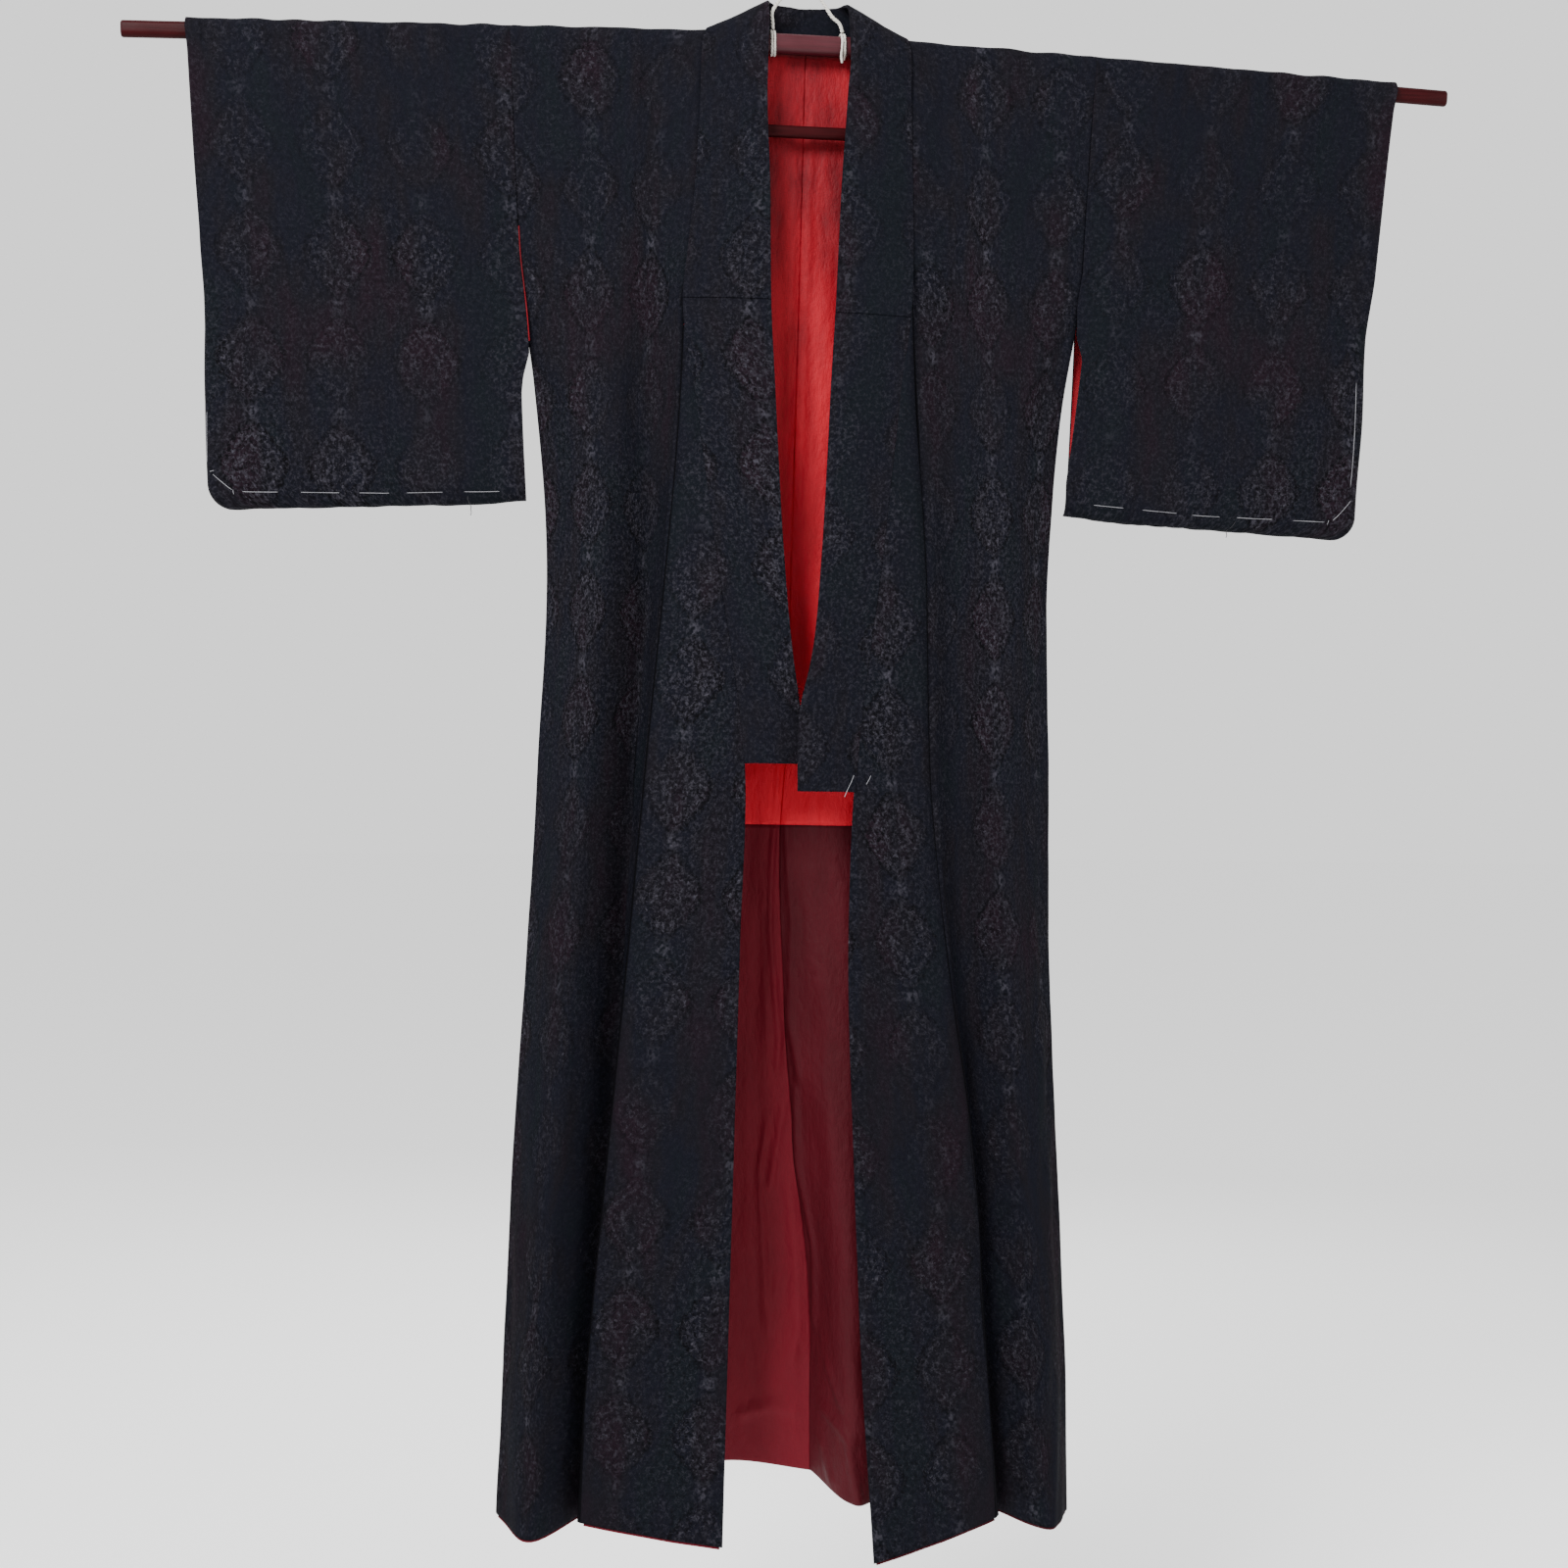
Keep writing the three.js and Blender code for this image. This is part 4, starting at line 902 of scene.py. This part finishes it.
# a wave's seed and height for each panel's unevenness
UNEVEN = {
    "body_left": (3, 0.55), "body_right": (5, 0.6), "okumi_left": (7, 0.35), "okumi_right": (9, 0.35),
    "sleeve_left": (11, 0.5), "sleeve_right": (13, 0.55), "collar": (15, 0.25),
    "lining_left": (17, 0.0), "lining_right": (19, 0.0),
}
# the groove that hangs down each okumi seam, and the edge that stands up beside it
SEAM_FOLDS = {
    "left": (
        (((61, 232), (61, 760), (62, 1160), (61, 1700)), 2.6, -2.4, 14),
        (((76, 300), (80, 900), (78, 1500)), 9, -1.6, 90),
        (((52, 300), (50, 900), (52, 1480)), 6, 0.7, 120),
    ),
    "right": (
        (((68, 232), (64, 384), (63, 572), (61, 800), (61, 1140), (62, 1700)), 5.5, -4.2, 12),
        (((50, 290), (48, 560), (46, 900)), 7, 1.3, 70),
    ),
}
# paths on the flat cloth (across, along), widths, heights and how far their ends fade
CREASES = {
    "body_left": (
        *SEAM_FOLDS["left"],
        (((106, 560), (108, 1000), (106, 1700)), 20, 8.5, 220),
        (((62, 760), (150, 760)), 2.6, -0.8, 18),
        (((296, 240), (268, 318), (240, 430), (228, 560)), 9, 1.7, 60),
        (((299, 330), (276, 410), (262, 520)), 6, -1.5, 40),
        (((150, 40), (160, 260), (176, 520)), 15, 1.2, 120), (((214, 20), (222, 190)), 9, -0.9, 60),
        (((200, 700), (212, 980), (206, 1230)), 11, -1.5, 120),
        (((262, 900), (270, 1200), (262, 1500)), 10, 1.3, 110),
        (((38, -110), (46, -620), (40, -1330)), 13, 2.0, 160),
        (((122, -260), (136, -700), (128, -980)), 11, -2.2, 130),
        (((208, -470), (226, -900), (218, -1460)), 13, 2.4, 150),
        (((284, -250), (250, -380), (238, -560)), 8, -1.8, 50),
        (((90, -1050), (96, -1460)), 9, 1.6, 90), (((6, -800), (296, -806)), 2.6, -0.6, 40),
    ),
    "body_right": (
        *SEAM_FOLDS["right"],
        (((106, 620), (108, 1000), (106, 1700)), 18, 2.5, 220), (((62, 772), (98, 772)), 2.6, -0.8, 12),
        (((95, 18), (90, 80), (88, 120)), 3.0, -0.8, 22), (((104, 30), (101, 96)), 3.5, 0.6, 22),
        (((297, 262), (272, 345), (262, 420)), 7, -1.9, 40),
        (((298, 215), (262, 296), (226, 420)), 10, 1.6, 60),
        (((140, 60), (150, 330), (148, 640)), 14, 1.1, 130), (((232, 30), (226, 240)), 10, -1.0, 70),
        (((178, 640), (190, 980), (186, 1180)), 10, -1.6, 110),
        (((246, 760), (256, 1100), (250, 1440)), 11, 1.4, 120),
        (((52, -140), (44, -560), (50, -1180)), 12, 1.8, 150),
        (((136, -320), (124, -760), (132, -1180)), 12, -2.0, 140),
        (((214, -380), (202, -860), (210, -1380)), 12, 2.2, 160),
        (((282, -270), (256, -410)), 7, -1.6, 45), (((88, -1180), (82, -1480)), 8, 1.5, 70),
        (((4, -812), (296, -806)), 2.6, -0.6, 40),
    ),
    "okumi_left": (
        *SEAM_FOLDS["left"],
        (((-40, 760), (62, 760)), 2.6, -0.8, 30), (((14, 640), (-6, 900), (-22, 1230)), 11, -1.7, 130),
        (((30, 900), (22, 1240), (26, 1500)), 9, 1.2, 110), (((-60, 1180), (-66, 1480)), 9, 1.1, 70),
    ),
    "okumi_right": (
        *SEAM_FOLDS["right"],
        (((4, 772), (62, 772)), 2.6, -0.8, 18),
        (((33, 620), (25, 772), (0, 868), (-17, 984), (-48, 1136), (-58, 1330)), 11, -2.8, 110),
        (((12, 1000), (-2, 1220), (-4, 1440)), 10, 1.3, 100),
    ),
    "sleeve_left": (
        (((24, 40), (60, 220), (92, 420)), 13, 0.9, 90), (((204, 20), (192, 300)), 16, -0.9, 80),
        (((300, 60), (286, 330)), 11, 0.8, 80), (((6, 300), (96, 462)), 8, -0.7, 50),
        (((150, 330), (166, 480)), 9, 0.7, 40), (((90, -60), (126, -380)), 12, 1.1, 80),
        (((230, -90), (214, -430)), 12, -1.0, 80), (((20, -260), (80, -450)), 8, 0.9, 50),
    ),
    "sleeve_right": (
        (((16, 60), (44, 250), (60, 430)), 12, 0.9, 80), (((172, 30), (186, 340)), 15, -0.9, 90),
        (((262, 90), (276, 420)), 12, 0.8, 90), (((4, 318), (70, 470)), 7, -0.9, 45),
        (((226, 300), (214, 470)), 8, 0.6, 40), (((110, -80), (84, -420)), 12, 1.0, 80),
        (((246, -40), (262, -400)), 13, -1.1, 90), (((10, -290), (60, -440)), 8, 0.8, 45),
    ),
    "collar": (
        (((30, 132), (47, 147), (66, 168)), 4.5, -1.5, 12), (((38, 126), (58, 146)), 4.5, 0.9, 10),
        (((0, -753), (38, -753)), 3.0, -0.6, 10), (((12, -640), (18, -420), (10, -200)), 7, -0.6, 90),
        (((22, 300), (14, 520), (20, 700)), 7, -0.6, 90), (((12, -40), (64, -38)), 2.6, -1.0, 14),
        (((8, -24), (64, -25)), 3.0, 0.9, 14), (((14, -7), (64, -9)), 2.4, -0.9, 14),
        (((8, 10), (64, 8)), 3.0, 1.0, 14), (((12, 25), (64, 27)), 2.4, -0.8, 14),
        (((8, 41), (64, 40)), 3.0, 0.9, 14),
    ),
    "lining_left": (
        (((36, -150), (32, -292), (24, -496), (22, -720)), 8, -2.2, 90),
        (((8, -110), (9, -520)), 4, -1.3, 60), (((7, -560), (10, -700), (7, -840)), 3.5, -2.6, 30),
        (((8, -850), (14, -960), (8, -1080), (13, -1120)), 4, -3.2, 14),
        (((23, -1150), (36, -1220), (34, -1400)), 3.2, -3.0, 30),
        (((22, -1320), (34, -1402)), 3.0, -2.6, 14),
        (((6, -1140), (16, -1190), (30, -1250)), 4.0, -3.0, 16),
        (((8, -1210), (10, -1390), (18, -1440)), 5, -2.8, 30),
        (((2, -1478), (30, -1470), (62, -1482)), 5.0, -3.6, 10),
        (((20, -880), (24, -1120)), 6, -1.8, 60), (((40, -900), (46, -1120), (44, -1340)), 9, -2.0, 90),
    ),
    "lining_right": (
        (((8, -100), (7, -560)), 4, -1.5, 50), (((36, -560), (33, -760), (30, -912)), 8, -2.4, 70),
        (((6, -840), (12, -950), (6, -1060), (14, -1130)), 4, -3.0, 14),
        (((25, -200), (28, -420)), 8, -1.2, 80),
        (((8, -1120), (4, -1211), (14, -1300), (8, -1390)), 4.2, -3.4, 16),
        (((12, -1460), (36, -1474), (66, -1496)), 5, -4.0, 12),
        (((52, -1486), (64, -1560)), 5.0, -4.0, 12), (((22, -1410), (50, -1462)), 4.4, -2.8, 14),
        (((46, -940), (40, -1300)), 9, -2.0, 80), (((14, -1490), (34, -1545)), 5, -2.6, 14),
    ),
}


# ---- The cloth pieces ------------------------------------------------------------------------------


def seamed(start, stop, size, ends=(0.05, 1.5, 4.0)):
    """Columns from one seam to another, closer together beside both."""
    ends = np.array(ends)
    return np.concatenate([start + ends, steps(start + 9, stop - 9, size), stop - ends[::-1]])


def beside(cloth, columns, seams, width, height):
    """A soft groove or ridge along seams that run up and down the cloth."""
    push = sum(np.exp(-(((columns - seam) / width) ** 2)) for seam in seams)
    return np.broadcast_to(height * push, cloth.across.shape)


def drops(cloth):
    return -cloth.points[..., 2] - BAR_DROP


def above_and_below_waist(cloth):
    """The rows above the waist and those below it, which share the row at the waist."""
    down = drops(cloth)
    return down <= WAIST_DROP + 0.01, down >= WAIST_DROP - 0.01


def with_fuki(cloth, ends):
    """The lining with its hem drawn down past the face's, and how deep each row lies behind the face."""
    depth = np.full(cloth.across.shape, -LINING_BEHIND)
    rolls = ((0.9, -1.2), (1.7, -0.6), (2.0, 0.0))
    for end in ends:
        hem, above_hem = (0, 1) if end == "front" else (-1, -2)
        down = cloth.points[hem] - cloth.points[above_hem]
        down /= np.linalg.norm(down, axis=1, keepdims=True)
        beyond = np.array([cloth.points[hem] + down * far for far, _ in rolls])
        across = np.array([cloth.across[hem]] * len(rolls))
        sign = np.sign(cloth.along[hem] - cloth.along[above_hem])
        along = np.array([cloth.along[hem] + sign * far for far, _ in rolls])
        deep = np.array([np.full(cloth.across.shape[1], back) for _, back in rolls])
        behind = np.full((len(rolls), 1), end == "back")

        def joined(rows, added):
            return np.concatenate([added[::-1], rows] if end == "front" else [rows, added])

        for part, added in (("points", beyond), ("across", across), ("along", along), ("behind", behind)):
            setattr(cloth, part, joined(getattr(cloth, part), added))
        depth = joined(depth, deep)
    return cloth, depth


def fitted(piece, slot, *nodes):
    """The piece on the one body, in place of its nodes. The slot is not used."""
    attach(piece, ROOT)
    if nodes:
        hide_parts(*nodes)


def dress(piece, node, slot):
    fitted(piece, slot, node)


SEAM_COLUMNS = (0.05, 1.5, 3.2, 5.0, 7.0)
BODY_COLUMNS = np.concatenate([seamed(0, OKUMI_SEAM, 8), seamed(OKUMI_SEAM, BODY_WIDTH, 7, SEAM_COLUMNS)])
BODY_LINING_COLUMNS = np.concatenate([[0.1], steps(2, 62, 2), [64, 66, 68, 71], steps(76, 284, 10), [292]])
OKUMI_COLUMNS = np.concatenate([[0.0, 0.012, 0.035], steps(0.085, 0.915, 0.055), [0.965, 0.988, 1.0]])
OKUMI_LINING_COLUMNS = np.concatenate([[0.02], steps(0.08, 0.9, 0.09), [0.955]])
CUFF_COLUMNS = [307, 313, 318, 322, 325, 327.3, 329, 330]
SLEEVE_COLUMNS = np.concatenate([[-0.1, 1.5, 4], steps(10, 300, 7), CUFF_COLUMNS])
SLEEVE_LINING_COLUMNS = np.concatenate([[-1.4, -0.6, 0.8], steps(8, 316, 10)])


def relief(cloth, name):
    """The folds of one panel, the same for its face and for the lining behind it."""
    seed, height = UNEVEN[name]
    return creases(cloth, CREASES[name]) + ripples(cloth, seed, height)


def on_panel(cloth, push, facing, path, out=0.3, step=2.5):
    """Points just above the front of a laid panel, along a path on the flat cloth."""
    points = cloth.points + outward(cloth, facing) * (push + out)[..., None]
    front = ~cloth.behind[:, 0]
    flat = np.stack([cloth.across[front], cloth.along[front]], axis=-1).reshape(-1, 2)
    points = points[front].reshape(-1, 3)
    path = np.array(path, float)
    run = run_along(path)
    at = steps(0, run[-1], step)
    result = []
    for place in np.stack([np.interp(at, run, path[:, 0]), np.interp(at, run, path[:, 1])], axis=1):
        away = ((flat - place) ** 2).sum(axis=1)
        near = np.argsort(away)[:7]
        known = np.column_stack([np.ones(len(near)), flat[near] - place])
        result.append(np.linalg.lstsq(known, points[near], rcond=None)[0][0])
    return np.array(result)


def stitches(low, high, dash, gap):
    """Long stitches along a line: each rises out of the cloth and goes back into it."""
    run = run_along(low)
    made, start, count = [], 0.0, 0
    while start < run[-1] - 3:
        # hand stitches vary in length
        stop = min(run[-1], start + dash * (1 + 0.13 * math.sin(2.3 * count)))
        at = np.linspace(start, stop, max(5, int((stop - start) / 3)))
        rise = np.minimum(1, 6 * np.minimum(np.linspace(0, 1, len(at)), np.linspace(1, 0, len(at))))[:, None]
        ends = [np.stack([np.interp(at, run, line[:, k]) for k in range(3)], axis=1) for line in (low, high)]
        made.append(mix(*ends, rise))
        start, count = stop + gap * (1 + 0.18 * math.cos(1.7 * count)), count + 1
    return made


def sewn(name, material, paths, radius):
    fitted(strands(name, material, paths, radius, sides=6), "cotton_cord")


def faced(cloth, push, side, name, shown=None):
    """One panel of the face silk."""
    node = f"{name}_{side}"
    panel = lay(cloth, f"{node}_silk", SILK[node], -SIDES[side], FACE_WALL, push, shown)
    dress(panel, node, "face_silk")


def lined(cloth, push, side, *parts):
    """Parts of a panel's lining: each has a name, where it shows, a slot, a flat size and an area. The flat
    size and the area are not used.
    """
    for name, shown, slot, flat, area in parts:
        node, material = f"{name}_{side}", RED_SILK if slot == "red_lining" else WINE_SILK[side]
        panel = lay(cloth, f"{node}_silk", material, -SIDES[side], LINING_WALL, push, shown)
        dress(panel, node, slot)


# paths on each sleeve, the length of a stitch and of the gap after it
BASTING = {
    "left": (
        (((327, 400), (328.5, 465)), 80, 1), (((321, 467), (327, 468)), 10, 1),
        (((324, 470), (305, 487)), 40, 1), (((304.5, 486), (306, 491)), 10, 1),
        (((297, 488), (150, 485), (14, 479)), 38, 17),
    ),
    "right": (
        (((318, 331), (318, 456)), 140, 1), (((321, 462), (300, 486)), 40, 1),
        (((296, 484), (297, 490)), 10, 1), (((294, 487), (150, 484), (27, 476)), 38, 17),
    ),
}
LOOSE_END = {"left": (63, 494, 9), "right": (192, 497, 8)}  # across, along and how long it hangs


for side in SIDES:
    cloth = body_cloth(side, BODY_COLUMNS, 5)
    grooves = beside(cloth, BODY_COLUMNS, (0, OKUMI_SEAM, BODY_WIDTH), 2.4, -0.8)
    unsewn = cloth.behind & (np.abs(BODY_COLUMNS - OKUMI_SEAM) < 12)
    push = relief(cloth, f"body_{side}") + grooves * ~unsewn
    faced(cloth, push, side, "body", (BODY_COLUMNS >= OKUMI_SEAM) | cloth.behind)

    cloth, depth = with_fuki(body_cloth(side, BODY_LINING_COLUMNS, 5), ("front", "back"))
    inside = (BODY_LINING_COLUMNS >= OKUMI_SEAM + 4) | cloth.behind
    red, wine = above_and_below_waist(cloth)
    lined(
        cloth, depth + relief(cloth, f"body_{side}") + relief(cloth, f"lining_{side}"), side,
        ("lining", inside & red, "red_lining", (0.29, 1.68), 0.44),
        ("skirt_lining_front", inside & wine & ~cloth.behind, "wine_lining", (0.20, 0.72), None),
        ("skirt_lining_back", inside & wine & cloth.behind, "wine_lining", (0.30, 0.70), None),
    )

    cloth = okumi_cloth(side, OKUMI_COLUMNS, 5)
    from_edge, from_seam = OKUMI_COLUMNS * OKUMI_USUAL, (1 - OKUMI_COLUMNS) * OKUMI_USUAL
    push = relief(cloth, f"okumi_{side}")
    push = push - 0.7 * np.exp(-((from_edge / 1.8) ** 2)) - 0.45 * np.exp(-((from_seam / 2.2) ** 2))
    faced(cloth, push, side, "okumi")

    cloth, depth = with_fuki(okumi_cloth(side, OKUMI_LINING_COLUMNS, 10, tip=26), ("front",))
    red, wine = above_and_below_waist(cloth)
    lined(
        cloth, depth + relief(cloth, f"okumi_{side}"), side,
        ("okumi_lining", red, "red_lining", (0.11, 0.53), 0.032),
        ("okumi_skirt_lining", wine, "wine_lining", (0.14, 0.74), 0.085),
    )

    sleeve = sleeve_cloth(side, SLEEVE_COLUMNS, 6)
    folds = relief(sleeve, f"sleeve_{side}")
    faced(sleeve, folds, side, "sleeve")

    cloth = sleeve_cloth(side, SLEEVE_LINING_COLUMNS, 10)
    roomy = np.abs(cloth.points[..., 1]) > LINING_ROOM
    roomy |= np.repeat(np.array(cloth.kinds)[:, None] == "shoulder", len(SLEEVE_LINING_COLUMNS), axis=1)
    down = drops(cloth)
    red = (down > RED_EDGE[side][0]) & (down < RED_EDGE[side][1]) & ~cloth.behind
    rolled = np.where(red, 0.8, 0.0) * np.exp(-((np.maximum(0, SLEEVE_LINING_COLUMNS + 0.6) / 1.6) ** 2))
    shown = roomy & (red | (SLEEVE_LINING_COLUMNS > 0))
    push = relief(cloth, f"sleeve_{side}") - LINING_BEHIND + rolled
    lined(cloth, push, side, ("sleeve_lining", shown, "red_lining", (0.32, 0.98), None))

    facing = -SIDES[side]
    basting = []
    for path, dash, gap in BASTING[side]:
        low, high = (on_panel(sleeve, folds, facing, path, out) for out in (0.3, 1.25))
        basting += stitches(low, high, dash, gap)
    sewn(f"basting_{side}", BASTING_COTTON, basting, 0.3)
    across, start, length = LOOSE_END[side]
    end = on_panel(sleeve, folds, facing, [(across, start - 8), (across + 1, start)], 0.9)
    hanging = end[-1] - np.array([[0.4, 0, 0.3 * length], [-0.3, 0, 0.7 * length], [0.5, 0, length]])
    sewn(f"sleeve_thread_end_{side}", DARK_COTTON, [np.concatenate([end, hanging])], 0.4)

COLLAR_COLUMNS = np.concatenate([[-0.012, 0.01, 0.04], steps(0.1, 0.92, 0.082), [0.965, 0.99, 1.0]])
cloth = collar_cloth(COLLAR_COLUMNS, 5)
crown = COLLAR_CROWN * np.sin(math.pi * COLLAR_COLUMNS).clip(0) ** 0.7
push = crown + relief(cloth, "collar")
panel = lay(cloth, "collar_silk", SILK["collar"], -1, COLLAR_WALL, push, edge=0.9)
dress(panel, "collar", "face_silk")

cloth = collar_cloth(COLLAR_COLUMNS, 4)
push = crown + relief(cloth, "collar") + COLLAR_WALL / 2 + 0.75
down = drops(cloth)
shown = down <= np.where(cloth.along < 0, OVER_COLLAR_DROP["left"], OVER_COLLAR_DROP["right"])
over = lay(cloth, "over_collar_silk", SILK["collar"], -1, 0.9, push, shown, edge=0.3)
dress(over, "over_collar", "face_silk")

thread_ends = [
    [(50, -67, 767), (47, -69.5, 774), (43, -71, 782), (40, -72, 789)],
    [(68, -64, 767), (66, -66, 771), (63, -67, 776)],
]
thread_ends = [[hung(*point) for point in path] for path in thread_ends]
sewn("collar_thread_ends", BASTING_COTTON, thread_ends, 0.32)

# ---- The hanger ------------------------------------------------------------------------------------


def bar(node, size, half, middle, drop, slope=0.0, end=1.2, finish=MAROON):
    """A wooden bar with a stadium section, its ends softened, lying at a slope."""
    mesh = bmesh.new()
    cube = bmesh.ops.create_cube(mesh, size=1)["verts"]
    bmesh.ops.scale(mesh, vec=(2 * half, size["width"], size["height"]), verts=cube)

    def lengthwise():
        return [edge for edge in mesh.edges if abs(edge.verts[0].co.x - edge.verts[1].co.x) > half]

    bmesh.ops.bevel(
        mesh, geom=lengthwise(), offset=size["width"] * 0.485, segments=8, profile=0.5, affect="EDGES",
        clamp_overlap=False,
    )
    bmesh.ops.subdivide_edges(mesh, edges=lengthwise(), cuts=24, use_grid_fill=True)
    sloping = Matrix.Translation(hung(middle, 0, drop)) @ Matrix.Rotation(math.atan(slope), 4, "Y")
    bmesh.ops.transform(mesh, matrix=sloping, verts=mesh.verts)
    bmesh.ops.scale(mesh, vec=(MM, MM, MM), verts=mesh.verts)
    for face in mesh.faces:
        face.smooth = True
    fitted(finished(mesh, f"{node}_wood", finish, edge=end), "lacquer", node)


# the centre bar takes the lighter, painted-light copy of the lacquer
bar("bar_center", BAR, BAR["half"], 0, 0, finish=LIT_MAROON)
bar("lower_bar", LOWER_BAR, LOWER_BAR["half"], 0, LOWER_BAR["drop"])
arm_half = (ARM["to"] - ARM["from"]) / 2
tilt = math.atan(ARM["slope"])
for side, sign in SIDES.items():
    middle = sign * (ARM["from"] + arm_half * math.cos(tilt))
    middle_drop = ARM["drop"] + arm_half * math.sin(tilt)
    bar(f"arm_{side}", ARM, arm_half, middle, middle_drop, sign * ARM["slope"], end=2.0)
    link_top = BAR["height"] / 2 + 0.3
    link_bottom = LOWER_BAR["drop"] - LOWER_BAR["height"] / 2 - 0.3
    mesh = bmesh.new()
    bmesh.ops.create_cube(mesh, size=1)
    bmesh.ops.scale(mesh, vec=(LINK["width"], LINK["depth"], link_bottom - link_top), verts=mesh.verts)
    link_middle = hung(sign * LINK["x"], 0, (link_top + link_bottom) / 2)
    bmesh.ops.translate(mesh, vec=link_middle, verts=mesh.verts)
    bmesh.ops.scale(mesh, vec=(MM, MM, MM), verts=mesh.verts)
    fitted(finished(mesh, f"link_{side}_wood", MAROON, edge=0.8), "lacquer", f"link_{side}")

# ---- The cord --------------------------------------------------------------------------------------


def twisted(path, radius, pitch, count=3, phase=0.0):
    """The paths of the strands that are laid together round a cord's middle."""
    path = np.asarray(path, float)
    run = run_along(path)
    side_of, up_of = square_to(path, (0.0, 1.0, 0.02))
    paths = []
    for k in range(count):
        angle = (2 * math.pi * (run / pitch + k / count) + phase)[:, None]
        paths.append(path + radius * (np.cos(angle) * side_of + np.sin(angle) * up_of))
    return paths


def along_route(route, step):
    """Points a set step apart on a smooth curve through a route."""
    route = np.array(route, float)
    run = run_along(route)
    at = steps(0, run[-1], step)
    return curve_through(route, run, at)


CORD_ROUTE = (
    (-37, -14.7), (-37.4, -22), (-38, -32), (-32.5, -42.5), (-25, -52), (-18, -61.5), (-12.5, -69.5),
    (-9.8, -73.2), (-6, -75), (-2.2, -73.2), (0.6, -69.5), (6, -60.5), (12, -51), (18, -42), (26, -30.5),
    (33.5, -24), (36.8, -14.9),
)
cord_line = along_route([hung(x, 0, drop) for x, drop in CORD_ROUTE], 0.8)
cord = strands("hang_cord_cotton", CORD_COTTON, twisted(cord_line, 0.98, 11.0), 1.0, sides=10)
fitted(cord, "cotton_cord", "hang_cord")


# the loose end in front of the bar: how far beside the tie it hangs, its depth and its drop
CORD_TAIL = (
    (-1, -9.2, -6), (-1.6, -10.6, 0), (-2, -10.8, 6), (-2.6, -10.4, 12), (-2, -9.6, 17), (-1.4, -9.4, 20),
)


def wraps(x, turns):
    """Turns of cord round the bar, side by side, that start and end behind it."""
    out = 0.3 + 1.5  # a small gap, and the middle of the cord
    radius, straight = BAR["width"] / 2 + out, BAR["height"] / 2 - BAR["width"] / 2
    points = []
    for t in np.linspace(0, turns, 48 * turns + 1):
        angle = 2 * math.pi * t
        y, z = radius * math.cos(angle), radius * math.sin(angle)
        z += straight * max(-1, min(1, 3 * math.sin(angle)))
        points.append(hung(x + 3.0 * (t - turns / 2), y, -z))
    return np.array(points)


for side, sign in SIDES.items():
    paths = twisted(wraps(sign * TIE_X, 2), 0.72, 9.0)
    if side == "right":
        tail = [hung(sign * TIE_X + x, y, drop) for x, y, drop in CORD_TAIL]
        paths += twisted(along_route(tail, 1.0), 0.6, 9.0)
    tie = strands(f"cord_tie_{side}_cotton", CORD_COTTON, paths, 0.78, sides=8)
    fitted(tie, "cotton_cord", f"cord_tie_{side}")

# ---- Studio ----------------------------------------------------------------------------------------

floor_finish = Finish("pale_floor", **{"Roughness": 1.0, "Specular IOR Level": 0.0})
floor_finish.shader.inputs["Base Color"].default_value = (0.985, 0.985, 0.985, 1)
mesh = bmesh.new()
bmesh.ops.create_grid(mesh, x_segments=2, y_segments=2, size=30)
bmesh.ops.translate(mesh, vec=(0, 0, -1.98), verts=mesh.verts)
floor = finished(mesh, "floor", floor_finish.material)

world = bpy.data.worlds.new("studio")
bpy.context.scene.world = world
world.use_nodes = True
world.node_tree.nodes["Background"].inputs["Color"].default_value = (1, 1, 1, 1)
world.node_tree.nodes["Background"].inputs["Strength"].default_value = 1.3


def lamp(name, place, aim, size, power):
    data = bpy.data.lights.new(name, "AREA")
    data.shape, data.size, data.size_y, data.energy = "RECTANGLE", size[0], size[1], power
    light = bpy.data.objects.new(name, data)
    light.location = place
    light.rotation_euler = (Vector(aim) - Vector(place)).to_track_quat("-Z", "Y").to_euler()
    bpy.context.scene.collection.objects.link(light)


lamp("key", (-1.7, -2.5, 1.5), (0, 0, -0.8), (1.2, 1.4), 235)
lamp("fill", (2.6, -2.4, 0.0), (0, 0, -0.9), (2.2, 2.4), 50)
lamp("rim", (0.6, 2.6, 0.6), (0, 0, -0.8), (2.4, 2.0), 60)
